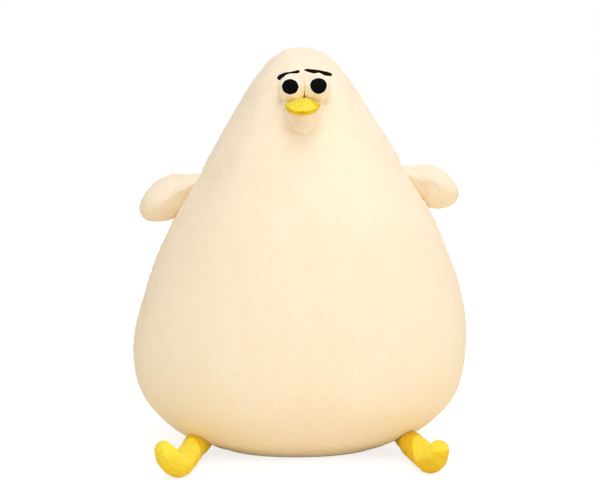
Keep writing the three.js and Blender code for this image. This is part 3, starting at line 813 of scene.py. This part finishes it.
class GULL_OT_muzzle(PieceOperator, bpy.types.Operator):
    """Make the padded cone under the eyes"""

    bl_idname = "gull.muzzle"
    bl_label = "Muzzle"

    # how far up, as a share of the height, and how far out, as a share of half the width
    OUTLINE = (
        (0, 0), (0.04, 0.27), (0.15, 0.55), (0.36, 0.8),
        (0.7, 1), (0.87, 0.88), (0.96, 0.5), (1, 0),
    )
    ASIDE = 2 * MM  # of its middle, to the bird's right of the body's
    DEEP, SHALLOW = 1.15, 0.3  # how far it stands out for half its width, below and at the top

    def execute(self, context):
        sizes = context.scene.gull_sizes
        cream = materials(context)[0]
        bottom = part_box("muzzle_cover")[0][2]
        curve = catmull([(out, up) for up, out in self.OUTLINE], 20)
        curve[:, 0] = np.maximum(curve[:, 0], 0)
        points = curve * (sizes.muzzle_width / 2, sizes.muzzle_height)
        points = resampled(points, 1.5 * MM)
        sides = 72
        angles = np.linspace(0, 2 * math.pi, sides, endpoint=False)
        rings = []
        for half, up in points:
            z = bottom + up
            middle = BODY.lean(z) - self.ASIDE
            y = -BODY.front(BODY.lean(z), z)
            if half < 0.2 * MM:
                rings.append([(middle, y, z)])
                continue
            shallow = smooth((up / sizes.muzzle_height - 0.5) / 0.3)
            deep = half * (self.DEEP + (self.SHALLOW - self.DEEP) * shallow)
            flare = 1.6 - 0.6 * smooth(up / sizes.muzzle_height / 0.6)
            x = middle + half * np.cos(angles)
            out = deep * power(np.sin(angles), flare)
            rings.append(np.stack([x, y + out, np.full(sides, z)], -1))
        muzzle = loft("muzzle_plush", rings, cream)
        place = coordinates(muzzle)
        move = 0.35 * MM * waves(place, (24 * MM, 14 * MM), 11)
        set_coordinates(muzzle, place + vertex_normals(muzzle) * move[:, None])
        finished(muzzle, "body", ("muzzle_cover", "muzzle_fill"))
        return {"FINISHED"}


def dome(centre, radius, tilt, inner, outer, thickness, name, material, cut):
    """A felt cap or ring on a ball, with rolled edges, facing -Y and tilted up.

    The cut gives its height for its width, and how far it strays to eight sides and to three.
    """
    sides = 96
    angles = np.linspace(0, 2 * math.pi, sides, endpoint=False)
    flat, eight, three = cut
    wobble = 1 + eight * np.cos(8 * angles + 0.3) + three * np.cos(3 * (angles + math.pi / 2))
    steps = 14
    low = math.asin(inner / 2 / radius)
    high = math.asin(outer / 2 / radius)
    edge = min(0.5 * thickness / radius, (high - low) / 3)

    def ring(angle, lift):
        across = radius + lift
        r = across * math.sin(angle) * (1 + (wobble - 1) * smooth(angle / high))
        x, z = r * np.cos(angles), flat * r * np.sin(angles)
        y = -np.sqrt(np.maximum(across**2 - x**2 - z**2, 0))
        return np.stack([x, y, z], -1)

    # over the top from the inside out, round the edge, and back underneath
    flat_part = high - low - 2 * edge
    roll = [(edge * (1 - math.sin(t)), thickness * math.cos(t)) for t in (0.5, 1.0, 1.4)]
    profile = [(low + edge + flat_part * i / steps, thickness) for i in range(steps + 1)]
    profile += [(high - back, lift) for back, lift in roll] + [(high, 0)]
    profile += [(low + (high - low) * (1 - i / 6), 0) for i in range(1, 7)]
    if inner > 0:
        profile += [(low + back, lift) for back, lift in reversed(roll)]
        obj = loft(name, [ring(*stop) for stop in profile], material, closed=True)
    else:
        top, underneath = [(0, -(radius + thickness), 0)], [(0, -radius, 0)]
        rings = [ring(*stop) for stop in profile[1:-1]]
        obj = loft(name, [top, *rings, underneath], material)
    turn = Matrix.Rotation(-tilt, 4, "X")
    obj.data.transform(Matrix.Translation(centre) @ turn)
    return obj


class GULL_OT_eyes(PieceOperator, bpy.types.Operator):
    """Make the stuffed eyeballs with their felt rims and pupils"""

    bl_idname = "gull.eyes"
    bl_label = "Eyes"

    CUTS = {"left": (0.95, 0.004, 0.025), "right": (0.925, 0.012, 0)}  # of the felt on each eye
    TILT = 8  # degrees that the felt faces up
    PRESSED = 1.8 * MM  # how far the balls are pushed together
    SAG = 1.6 * MM  # how far their undersides hang onto the beak
    MIDDLE_SAG = 3.6 * MM  # and how much farther where they meet
    BRIDGE = 4.4 * MM  # how far they stand forward where they meet, above their undersides

    def execute(self, context):
        sizes = context.scene.gull_sizes
        cream, _, black, white = materials(context)
        radius = sizes.eye_diameter / 2
        tilt = math.radians(self.TILT)
        centres = {}
        for name in SIDES:
            low, high = (Vector(corner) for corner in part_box(f"eye_{name}_cover"))
            centres[name] = Vector(((low.x + high.x) / 2, low.y + radius, (low.z + high.z) / 2))
        between = (centres["left"].x + centres["right"].x) / 2
        for name, side in SIDES.items():
            centre = centres[name]
            ball = self.ball(f"eye_{name}_plush", centre, radius, cream, side, between)
            finished(ball, "body", (f"eye_{name}_cover", f"eye_{name}_fill"))
            rim = dome(
                centre, radius + 0.1 * MM, tilt, sizes.pupil_diameter - 1 * MM,
                sizes.eye_rim_diameter, 0.9 * MM, f"eye_{name}_white_rim", white, self.CUTS[name],
            )
            finished(rim, "body", (f"eye_{name}_rim",))
            pupil = dome(
                centre, radius + 0.2 * MM, tilt, 0, sizes.pupil_diameter, 1.3 * MM,
                f"eye_{name}_black_pupil", black, self.CUTS[name],
            )
            finished(pupil, "body", (f"eye_{name}_pupil",))
        return {"FINISHED"}

    @classmethod
    def ball(cls, name, centre, radius, material, side, between):
        """A ball gathered at the back, and pressed against the other one."""
        sides, gathers = 96, 14
        angles = np.linspace(0, 2 * math.pi, sides, endpoint=False)
        rings = []
        for t in np.linspace(0, math.pi, 49):
            behind = smooth((t - 1.7) / 1.2)
            r = radius * math.sin(t) * (1 + 0.05 * behind * np.cos(gathers * angles))
            y = np.full(sides, -radius * math.cos(t))
            ring = np.stack([r * np.cos(angles), y, r * np.sin(angles)], -1)
            rings.append(ring[:1] if math.sin(t) < 1e-6 else ring)
        ball = loft(name, rings, material)
        place = coordinates(ball)
        move = 0.2 * MM * waves(place, (16 * MM, 11 * MM), 5)
        place = place + vertex_normals(ball) * move[:, None]
        inward = np.clip(-side * place[:, 0] / radius, 0, 1)
        ahead = smooth((0.35 - place[:, 1] / radius) / 0.5)
        ahead *= smooth((0.75 + place[:, 2] / radius) / 0.4)
        place[:, 1] -= cls.BRIDGE * smooth((inward - 0.72) / 0.18) * ahead
        place[:, 0] -= side * cls.PRESSED * inward**2
        hang = np.clip(-place[:, 2] / radius, 0, 1)
        sag = cls.SAG * hang**2 * (0.6 + 0.8 * inward)
        place[:, 2] -= sag + cls.MIDDLE_SAG * inward * smooth(hang / 0.5)
        # they close on each other above, where one fabric covers both, and gather below
        gap = 0.1 * MM - 1 * MM * smooth((place[:, 2] / radius + 0.5) / 0.5)
        place += np.array(centre)
        place[:, 0] = between + side * np.maximum(side * (place[:, 0] - between), gap)
        set_coordinates(ball, place)
        return ball


class GULL_OT_brows(PieceOperator, bpy.types.Operator):
    """Make the felt brows, each with its stitched white edge"""

    bl_idname = "gull.brows"
    bl_label = "Brows"

    # the middle line of each from its inner end, in mm: how far to the bird's left, how far
    # below the crown, and how wide the felt is cut there
    LINES = {
        "left": (
            (2.6, 28.3, 1.8), (5.3, 28.6, 3.4), (12, 29.8, 4.7), (18.3, 29.9, 3),
            (24, 31.8, 4.8), (27, 32.4, 5.2), (30.4, 33.1, 3.8),
        ),
        "right": (
            (-3.6, 29.8, 2.6), (-5.5, 30.3, 3.7), (-12.7, 31.3, 1.8), (-16.8, 32, 2.7),
            (-20, 33.5, 4), (-23.2, 35.6, 5.4), (-24.7, 37.1, 4.8),
        ),
    }

    def execute(self, context):
        _, _, black, white = materials(context)
        for name, line in self.LINES.items():
            points = [(x * MM, BODY_HEIGHT - drop * MM) for x, drop, _ in line]
            widths = [wide * MM for _, _, wide in line]
            brow = self.strip(f"brow_{name}_felt", points, widths, 1.2 * MM, black)
            finished(brow, "body", (f"brow_{name}",))
            wider = [w + 1.5 * MM for w in widths]
            edging = self.strip(f"brow_{name}_edging", points, wider, 0.7 * MM, white)
            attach(edging, "body")
        return {"FINISHED"}

    @staticmethod
    def strip(name, points, widths, thickness, material):
        """A strip of felt with round ends, laid on the forehead."""
        samples, end_rings, sides = 12, 6, 20
        curve = catmull(points, samples)
        at = np.linspace(0, len(points) - 1, len(curve))
        halves = np.interp(at, range(len(points)), widths) / 2
        along = np.gradient(curve, axis=0)
        along /= np.linalg.norm(along, axis=1, keepdims=True)

        def round_end(index, way):
            """The stops of one end, from its tip on."""
            stops = []
            for i in range(end_rings):
                turn = math.pi / 2 * (i + 0.6) / (end_rings + 0.6)
                out = halves[index] * 0.8 * math.cos(turn)
                centre = curve[index] + way * along[index] * out
                stops.append((centre, halves[index] * math.sin(turn), along[index]))
            return stops

        stops = [*round_end(0, -1), *zip(curve, halves, along), *reversed(round_end(-1, 1))]
        rings = []
        angles = np.linspace(0, 2 * math.pi, sides, endpoint=False)
        for centre, half, ahead in stops:
            across = np.array((-ahead[1], ahead[0]))
            offset = np.cos(angles) * half
            flat = centre + offset[:, None] * across
            rise = thickness * power(np.sin(angles), 0.6) * min(1, half / MM)
            y = -BODY.front(flat[:, 0], flat[:, 1])
            surface = np.stack([flat[:, 0], y, flat[:, 1]], -1)
            rings.append(surface + BODY.normal(surface) * rise[:, None])
        tips = [[rings[end].mean(axis=0)] for end in (0, -1)]
        return loft(name, [tips[0], *rings, tips[1]], material)


class GULL_OT_beak(PieceOperator, bpy.types.Operator):
    """Make the padded beak from its upper and lower panel"""

    bl_idname = "gull.beak"
    bl_label = "Beak"

    PEAK = 0.15  # where it is highest, as a share of half the width, to the bird's left
    BELOW_CROWN = 64.6 * MM
    DROOP = 8 * MM  # of the tip
    UPPER, LOWER = 6.8 * MM, 8.4 * MM  # how far each panel stands off the seam's level
    SEAM_DIP, FOLD_DIP = 1.2 * MM, 0.7 * MM
    TURN = 4  # degrees to the bird's right
    ASIDE, AHEAD = 1.6 * MM, 8 * MM  # of its hidden end: to the bird's right, and before the body

    def execute(self, context):
        sizes = context.scene.gull_sizes
        yellow = materials(context)[1]
        height = BODY_HEIGHT - self.BELOW_CROWN
        sides = 64
        angles = np.linspace(0, 2 * math.pi, sides, endpoint=False)
        shares = np.concatenate([np.linspace(0, 0.9, 26), [0.93, 0.955, 0.975, 0.988, 0.996]])
        rings = [[(0, 0, 0)]]
        for share in shares:
            swell = math.sqrt(1 - share**3)
            half = self.half_width(share, sizes)
            across = np.cos(angles)
            aside = across - self.PEAK
            aside = np.abs(aside / np.where(aside > 0, 1 - self.PEAK, 1 + self.PEAK))
            above = self.UPPER * (1 - aside**1.45)
            below = -self.LOWER * (1 - np.abs(across) ** 4)
            z = np.where(np.sin(angles) > 0, above, below) * swell - self.DROOP * share**2
            y = np.full(sides, -share * sizes.beak_length)
            rings.append(np.stack([half * across, y, z], -1))
        rings.append([(0, -sizes.beak_length, -self.DROOP)])
        beak = loft("beak_plush", rings, yellow)
        place = coordinates(beak)
        share, off_seam = self.above_seam(place, sizes)
        back = place[:, 1] > -6 * MM
        rim = np.abs(place[:, 0]) > 0.9 * self.half_width(np.minimum(share, 0.999), sizes)
        pinned = ((np.abs(off_seam) < 0.6 * MM) & rim) | back
        place, outward = stuffed_finely(beak, pinned, 1 * MM)
        _, off_seam = self.above_seam(place, sizes)
        facing = smooth((np.hypot(outward[:, 0], outward[:, 1]) - 0.3) / 0.4)
        move = -self.SEAM_DIP * gauss(off_seam, 1 * MM) * facing
        # a fold runs from beside the peak to the left end of the seam; painted shade goes on the
        # lip below the seam and beyond the fold
        fold = place[:, 0] - (6.4 * MM + 0.84 * (self.UPPER - place[:, 2]))
        above = smooth(off_seam / (1.2 * MM))
        move -= self.FOLD_DIP * gauss(fold, 1 * MM) * above
        move += 0.25 * MM * waves(place, (14 * MM, 9 * MM), 21)
        set_coordinates(beak, place + outward * move[:, None])
        # painted shade on the lip below the seam and on the part beyond the fold
        lay_painted_shade(beak, 1 - above + 0.8 * above * smooth(0.5 + fold / (1.6 * MM)))
        turn = Matrix.Rotation(-math.radians(self.TURN), 4, "Z")
        lean = float(BODY.lean(height))
        start = Vector((lean - self.ASIDE, -BODY.front(lean, height) - self.AHEAD, height))
        beak.data.transform(Matrix.Translation(start) @ turn)
        nodes = ("beak_upper_panel", "beak_lower_panel", "beak_fill")
        finished(beak, "body", nodes)
        return {"FINISHED"}

    @classmethod
    def above_seam(cls, place, sizes):
        """How far along the beak each point is, as a share, and how far above the seam's level."""
        share = np.clip(-place[:, 1] / sizes.beak_length, 0, 1)
        return share, place[:, 2] + cls.DROOP * share**2

    @staticmethod
    def half_width(share, sizes):
        """Half of the beak's width, at a share of its length."""
        return sizes.beak_width / 2 * (1 - share**3.5) ** 0.42


# Limbs


class GULL_OT_wings(PieceOperator, bpy.types.Operator):
    """Make the two flippers, each with its root sewn to the body"""

    bl_idname = "gull.wings"
    bl_label = "Flippers"

    DROOP = {"left": 26, "right": 28}  # degrees below level
    ROOT_CHORD, ROOT_THICKNESS = 40 * MM, 19 * MM
    EDGE = 0.9  # power by which the thickness runs out to the seam
    BEND = 52 * MM  # how far out from the shoulder
    # at a share of the length: how high the seam is, and how far the upper and the lower panel
    # stand off it, in mm
    PROFILE = {
        "left": (
            (0, 0, 10, 9.5), (0.18, 2, 15, 17.5), (0.33, 6.8, 14.5, 25), (0.52, 8.2, 13.5, 31),
            (0.75, 7.5, 11, 30), (0.9, 4.8, 10.2, 25.5), (1, 1, 10, 23),
        ),
        "right": (
            (0, 0, 9.5, 9.5), (0.16, 1, 14.5, 15.5), (0.3, 1.5, 19.5, 21), (0.47, 1, 21.5, 24.5),
            (0.67, 0, 21, 24), (0.83, -1, 18.5, 21.2), (1, -2.8, 17, 19.6),
        ),
    }

    def execute(self, context):
        sizes = context.scene.gull_sizes
        cream = materials(context)[0]
        for name, side in SIDES.items():
            body = f"wing_{name}"
            length = getattr(sizes, f"wing_length_{name}")
            blade = self.blade(name, sizes, length)
            root = self.root(f"{body}_root")
            wing = joined(f"{body}_plush", [blade, root], 2 * MM, cream)
            place = coordinates(wing)
            edge = self.edge_distance(name, place, sizes, length)
            pinned = (edge < 1.6 * MM) | (place[:, 0] < 8 * MM)
            place, outward = stuffed_finely(wing, pinned, 1 * MM)
            seam = self.off_seam(name, place, length)
            seam += 3 * MM * (1 - smooth((place[:, 0] - 6 * MM) / (8 * MM)))  # none at the root
            facing = smooth((np.hypot(outward[:, 0], outward[:, 1]) - 0.4) / 0.3)
            move = -0.35 * MM * gauss(seam, 1.1 * MM) * facing
            move += 0.45 * MM * waves(place, (34 * MM, 20 * MM), 31 + side)
            set_coordinates(wing, place + outward * move[:, None])
            hinge = HINGES[body]
            turn = Matrix.Rotation(math.radians(self.DROOP[name]), 4, "Y")
            mirror = Matrix.Diagonal((side, 1, 1, 1))
            local = Vector((abs(hinge.x), hinge.y, hinge.z))
            wing.data.transform(mirror @ Matrix.Translation(local) @ turn)
            if side == RIGHT:
                wing.data.flip_normals()
            finished_limb(wing, body)
        return {"FINISHED"}

    @classmethod
    def profile(cls, name, share):
        """The seam's height and how far the upper and the lower panel stand off it."""
        table = catmull(np.array(cls.PROFILE[name]) * (1, MM, MM, MM), 12)
        return [np.interp(share, table[:, 0], column) for column in table.T[1:]]

    @classmethod
    def off_seam(cls, name, place, length):
        """How far a point is above or below the level of the seam."""
        return np.abs(place[:, 2] - cls.profile(name, np.clip(place[:, 0] / length, 0, 1))[0])

    @classmethod
    def chord(cls, share, sizes):
        """Half of the distance from front to back, at a share of the length."""
        swell = smooth(share / 0.6)
        wide = cls.ROOT_CHORD + (sizes.wing_chord - cls.ROOT_CHORD) * swell
        return wide / 2 * math.sqrt(max(0, 1 - share**5))

    @classmethod
    def edge_distance(cls, name, place, sizes, length):
        """How far a point is from the seam round the flipper's rim."""
        share = np.clip(place[:, 0] / length, 0, 1)
        half = np.array([cls.chord(s, sizes) for s in share])
        inside = half - np.abs(place[:, 1])
        tip = length - place[:, 0]
        from_rim = np.maximum(np.minimum(inside, tip), 0) * 0.6
        return np.hypot(from_rim, cls.off_seam(name, place, length))

    def blade(self, name, sizes, length):
        """The flipper from its root to its tip, along +X."""
        sides = 56
        turns = np.linspace(0, 2 * math.pi, sides, endpoint=False)
        across = -np.cos(turns)
        edge = (1 - np.abs(across) ** 2.4) ** self.EDGE * np.sign(np.sin(turns) + 1e-12)
        rings = [[(0, 0, 0)]]
        for share in np.concatenate([np.linspace(0, 0.9, 30), [0.94, 0.97, 0.985, 0.995]]):
            seam, upper, lower = self.profile(name, share)
            full = np.where(edge > 0, upper, lower) * sizes.wing_fullness
            z = seam + full * math.sqrt(1 - share**6) * edge
            x = np.full(sides, share * length)
            rings.append(np.stack([x, self.chord(share, sizes) * across, z], -1))
        rings.append([(length, 0, self.profile(name, 1)[0])])
        return loft(f"wing_{name}_blade", rings)

    @classmethod
    def root(cls, name):
        """The rounded end that is sewn to the body."""
        sides = 40
        angles = np.linspace(0, 2 * math.pi, sides, endpoint=False)
        half = cls.ROOT_CHORD / 2
        rings = [[(0, -half, 0)]]
        for across in -np.cos(np.linspace(0.12, math.pi - 0.12, 30)):
            r = cls.ROOT_THICKNESS / 2 * (1 - abs(across) ** 2.4) ** cls.EDGE
            y = np.full(sides, half * across)
            rings.append(np.stack([r * np.sin(angles), y, r * np.cos(angles)], -1))
        rings.append([(0, half, 0)])
        return loft(name, rings)


def aim(splay, rise):
    """A direction given by its splay out from straight ahead and its rise above level."""
    splay, rise = math.radians(splay), math.radians(rise)
    level = math.cos(rise)
    return np.array((level * math.sin(splay), -level * math.cos(splay), math.sin(rise)))


class LegLine:
    """The middle line of a leg: straight from the hip, then bent up and out at the ankle."""

    # degrees out from straight ahead and below level, of the leg
    WAY = {"left": (14.9, 4.1), "right": (12.6, 4.8)}
    # degrees out from straight ahead and above level, of the foot
    FOOT_WAY = {"left": (46, 58.5), "right": (78.6, 60.4)}
    # length to the ankle's bend, radius of the bend, and on from there to the middle of the toe
    LENGTHS = {"left": (66.1 * MM, 14.4 * MM, 7.2 * MM), "right": (68.4 * MM, 23 * MM, 6.2 * MM)}
    # diameters at the hip, the leg, the ankle and the toe
    DIAMETERS = {
        "left": (23.5 * MM, 28 * MM, 26 * MM, 22 * MM),
        "right": (29 * MM, 25.6 * MM, 24 * MM, 19 * MM),
    }
    NECK, FULL_FROM = 0.1, 0.35  # shares of the length between which the hip becomes the leg

    def __init__(self, name, hip, girth):
        self.hip = np.array(hip)
        (splay, fall), (foot_splay, foot_rise) = self.WAY[name], self.FOOT_WAY[name]
        self.along, self.up = aim(splay, -fall), aim(foot_splay, foot_rise)
        self.sideways = np.cross(self.along, self.up)
        self.sideways /= np.linalg.norm(self.sideways)
        self.inward = np.cross(self.sideways, self.along)
        self.length, self.bend, self.foot = self.LENGTHS[name]
        radii = [girth * diameter / 2 for diameter in self.DIAMETERS[name]]
        self.hip_radius, self.full, self.ankle, self.toe = radii
        self.turn = math.acos(self.along @ self.up)
        self.corner = self.hip + self.along * self.length + self.inward * self.bend

    def stops(self):
        """Each stop's centre, the way the tube runs there, and its radius."""
        shares = np.linspace(0, 1, 24)
        swell = smooth((shares - self.NECK) / (self.FULL_FROM - self.NECK))
        radii = self.hip_radius + (self.full - self.hip_radius) * swell
        straight = self.along * self.length
        line = [(self.hip + straight * s, self.along, r) for s, r in zip(shares, radii)]
        for share in np.linspace(0, 1, 13)[1:]:
            ahead, out = math.sin(share * self.turn), math.cos(share * self.turn)
            centre = self.corner + self.bend * (ahead * self.along - out * self.inward)
            way = out * self.along + ahead * self.inward
            line.append((centre, way, self.full + (self.ankle - self.full) * share))
        end, _, radius = line[-1]
        for share in (0.33, 0.67, 1):
            centre = end + self.up * self.foot * share
            line.append((centre, self.up, radius + (self.toe - radius) * share))
        return line

    def tube(self, name):
        """The leg and its foot as one tube, closed by half balls."""
        angles = np.linspace(0, 2 * math.pi, 40, endpoint=False)

        def ring(centre, way, radius):
            across = np.cross(self.sideways, way)
            turned = np.outer(np.cos(angles), self.sideways) + np.outer(np.sin(angles), across)
            return centre + radius * turned

        def half_ball(stop, side):
            """The rings of one end, from its tip on."""
            centre, way, radius = stop
            rings = [[centre + side * way * radius]]
            for turn in (math.radians(a) for a in (12, 25, 38, 51, 64, 77)):
                out = side * way * radius * math.cos(turn)
                rings.append(ring(centre + out, way, radius * math.sin(turn)))
            return rings

        line = self.stops()
        first, last = half_ball(line[0], -1), half_ball(line[-1], 1)
        return loft(name, [*first, *(ring(*stop) for stop in line), *reversed(last)])


class GULL_OT_legs(PieceOperator, bpy.types.Operator):
    """Make the two legs, each one stuffed tube that bends up and out into the foot"""

    bl_idname = "gull.legs"
    bl_label = "Legs"

    # painted shade: the length of the shaded cuff at the hip, how much longer it is on the inner
    # side, and how much shade the underside gets
    PAINTED_SHADE_CUFFS = {"left": (31 * MM, 24 * MM, 0.8), "right": (28 * MM, 12 * MM, 0.35)}
    BEND = (8 * MM, 38 * MM)  # from where to where, out from the hip

    def execute(self, context):
        sizes = context.scene.gull_sizes
        yellow = materials(context)[1]
        for name, side in SIDES.items():
            body = f"leg_{name}"
            hinge = HINGES[body]
            line = LegLine(name, (abs(hinge.x), hinge.y, hinge.z), sizes.leg_girth)
            leg = joined(f"{body}_plush", [line.tube(f"{body}_tube")], 1.6 * MM, yellow)
            place = coordinates(leg)
            off = np.abs((place - line.hip) @ line.sideways)
            reach = (place - line.hip) @ line.along
            crease = np.linalg.norm(place - line.corner, axis=1)
            pinned = (off < 1.0 * MM) | (reach < 12 * MM) | (crease < 6 * MM)
            place, outward = stuffed_finely(leg, pinned, 0.9 * MM)
            off = np.abs((place - line.hip) @ line.sideways)
            move = -0.3 * MM * gauss(off, 0.9 * MM)
            move += 0.35 * MM * waves(place, (26 * MM, 15 * MM), 41 + side)
            place = under_body(place + outward * move[:, None])
            place[:, 2] = np.maximum(place[:, 2], 0.3 * MM)
            set_coordinates(leg, place)
            # painted shade on the cuff at the hip and on the underside
            lay_painted_shade(leg, self.nap(name, line, place, outward))
            if side == RIGHT:
                leg.data.transform(Matrix.Diagonal((-1, 1, 1, 1)))
                leg.data.flip_normals()
            finished_limb(leg, body)
        return {"FINISHED"}

    @classmethod
    def nap(cls, name, line, place, outward):
        """How much painted shade each point gets: on a cuff at the hip, and on the underside."""
        cuff, inner_cuff, underneath = cls.PAINTED_SHADE_CUFFS[name]
        from_hip = place - line.hip
        outer = np.cross((0, 0, 1), line.along)
        inner = -(from_hip @ outer) / np.linalg.norm(outer) / line.full
        end = cuff + 3 * MM * inner + inner_cuff * np.maximum(inner, 0) ** 2
        on_cuff = 1 - smooth(0.5 + (from_hip @ line.along - end) / (3 * MM))
        return np.maximum(on_cuff, underneath * (1 - smooth((outward[:, 2] + 0.1) / 0.6)))


def under_body(place):
    """Presses what would be inside the body down to the body's own surface."""
    for _ in range(3):
        depth, normal = BODY.depth_of(place)
        place = place + normal * np.maximum(depth, 0)[:, None]
    return place


# Stage


def seen_directly(tree):
    """1 for what the camera sees straight, in a mirror or through glass, and otherwise 0."""
    light = node(tree, "ShaderNodeLightPath").outputs
    seen = math_node(tree, "MAXIMUM", light["Is Camera Ray"], light["Is Glossy Ray"])
    return math_node(tree, "MAXIMUM", seen, light["Is Transmission Ray"])


class GULL_OT_stage(PieceOperator, bpy.types.Operator):
    """Make the floor, the lamps, the world and the camera"""

    bl_idname = "gull.stage"
    bl_label = "Stage"

    def execute(self, context):
        self.floor()
        self.lamps()
        self.world(context.scene)
        self.camera(context.scene)
        settings = context.scene.view_settings
        settings.view_transform = "Standard"
        return {"FINISHED"}

    @staticmethod
    def floor():
        """A warm floor that the camera sees as white, with the bird's shadow on it."""
        size = 6.0
        corners = [(-size, -size, 0), (size, -size, 0), (size, size, 0), (-size, size, 0)]
        material = bpy.data.materials.new("Pale floor")
        material.use_nodes = True
        tree = material.node_tree
        bounce = tree.nodes["Principled BSDF"]
        bounce.inputs["Base Color"].default_value = (0.96, 0.84, 0.6, 1)
        bounce.inputs["Roughness"].default_value = 1
        bounce.inputs["Specular IOR Level"].default_value = 0
        shade = node(tree, "ShaderNodeBsdfDiffuse", values={"Color": (0.35, 0.35, 0.35, 1)})
        place = node(tree, "ShaderNodeTexCoord").outputs["Object"]
        length = node(tree, "ShaderNodeVectorMath", {"operation": "LENGTH"}, links={0: place})
        white = map_range(tree, length.outputs["Value"], 0.35, 1.2, 0.78, 1)
        glow = node(
            tree, "ShaderNodeEmission", values={"Color": (1, 1, 1, 1)}, links={"Strength": white}
        )
        look = node(tree, "ShaderNodeAddShader", links={0: shade.outputs[0], 1: glow.outputs[0]})
        looks = {0: seen_directly(tree), 1: bounce.outputs[0], 2: look.outputs[0]}
        choice = node(tree, "ShaderNodeMixShader", links=looks)
        tree.links.new(choice.outputs[0], tree.nodes["Material Output"].inputs["Surface"])
        mesh_object("floor", corners, [(0, 1, 2, 3)], material)

    @staticmethod
    def lamps():
        """Square white lamps, each aimed at the bird's middle."""
        middle = Vector((0, 0, 0.22))
        # place and edge in metres, and watts
        lamps = (
            ("key", (-0.1, -1.4, 2.0), 1.4, 16),
            ("left_fill", (-1.7, -1.3, 0.7), 1.2, 7),
            ("right_fill", (1.7, -1.1, 0.7), 1.2, 11.5),
            ("back", (0.2, 1.7, 1.5), 1.4, 11),
            ("low", (0, -0.8, 0.08), 0.5, 0.38),
            ("top", (0.3, -0.3, 2.1), 1.0, 6.6),
        )
        for name, place, size, watts in lamps:
            data = bpy.data.lights.new(name, "AREA")
            data.size, data.energy = size, watts
            lamp = bpy.data.objects.new(name, data)
            lamp.location = place
            lamp.rotation_mode = "QUATERNION"
            lamp.rotation_quaternion = (middle - Vector(place)).to_track_quat("-Z", "Y")
            bpy.context.scene.collection.objects.link(lamp)

    @staticmethod
    def world(scene):
        """Soft light from all round, which the camera sees as plain white."""
        world = bpy.data.worlds.new("Soft room")
        scene.world = world
        world.use_nodes = True
        tree = world.node_tree
        output = tree.nodes["World Output"]
        room = tree.nodes["Background"]
        room.inputs["Color"].default_value = (1, 1, 1, 1)
        room.inputs["Strength"].default_value = 0.34
        white = node(tree, "ShaderNodeBackground", values={"Color": (1, 1, 1, 1), "Strength": 1})
        looks = {0: seen_directly(tree), 1: room.outputs[0], 2: white.outputs[0]}
        choice = node(tree, "ShaderNodeMixShader", links=looks)
        tree.links.new(choice.outputs[0], output.inputs["Surface"])

    @staticmethod
    def camera(scene):
        """The view of the photograph: a little above, and a little from the bird's right."""
        distance, eye_height, look_height = 1.3, 0.38, 0.225
        photo_width = 600  # pixels
        level = math.sqrt(distance**2 - (eye_height - look_height) ** 2)
        azimuth = math.radians(-2)
        data = bpy.data.cameras.new("photo_camera")
        data.lens, data.sensor_width = 69.28, 36
        data.shift_x, data.shift_y = -1 / photo_width, 8.1 / photo_width
        data.clip_start, data.clip_end = 0.05, 20
        camera = bpy.data.objects.new("photo_camera", data)
        camera.location = (level * math.sin(azimuth), -level * math.cos(azimuth), eye_height)
        toward = Vector((0, 0, look_height)) - camera.location
        camera.rotation_mode = "QUATERNION"
        camera.rotation_quaternion = toward.to_track_quat("-Z", "Y")
        scene.collection.objects.link(camera)
        scene.camera = camera


PIECES = (
    GULL_OT_body, GULL_OT_muzzle, GULL_OT_eyes, GULL_OT_brows, GULL_OT_beak,
    GULL_OT_wings, GULL_OT_legs,
)


class GULL_PT_panel(bpy.types.Panel):
    """Lists the pieces and their settings"""

    bl_idname = "GULL_PT_panel"
    bl_label = "Plush seagull"
    bl_space_type = "VIEW_3D"
    bl_region_type = "UI"
    bl_category = "Seagull"

    def draw(self, context):
        column = self.layout.column(align=True)
        for piece in (*PIECES, GULL_OT_stage):
            column.operator(piece.bl_idname)
        for group in (context.scene.gull_sizes, context.scene.gull_colours):
            column = self.layout.column(align=True)
            for name in group.__annotations__:
                column.prop(group, name)


CLASSES = (GullSizes, GullColours, *PIECES, GULL_OT_stage, GULL_PT_panel)


def register():
    for item in CLASSES:
        bpy.utils.register_class(item)
    bpy.types.Scene.gull_sizes = PointerProperty(type=GullSizes)
    bpy.types.Scene.gull_colours = PointerProperty(type=GullColours)


def unregister():
    del bpy.types.Scene.gull_sizes, bpy.types.Scene.gull_colours
    for item in reversed(CLASSES):
        bpy.utils.unregister_class(item)


def main():
    register()
    bpy.ops.gull.stage()
    for name in ("body", "muzzle", "eyes", "brows", "beak", "wings", "legs"):
        getattr(bpy.ops.gull, name)()


if __name__ == "__main__":
    main()
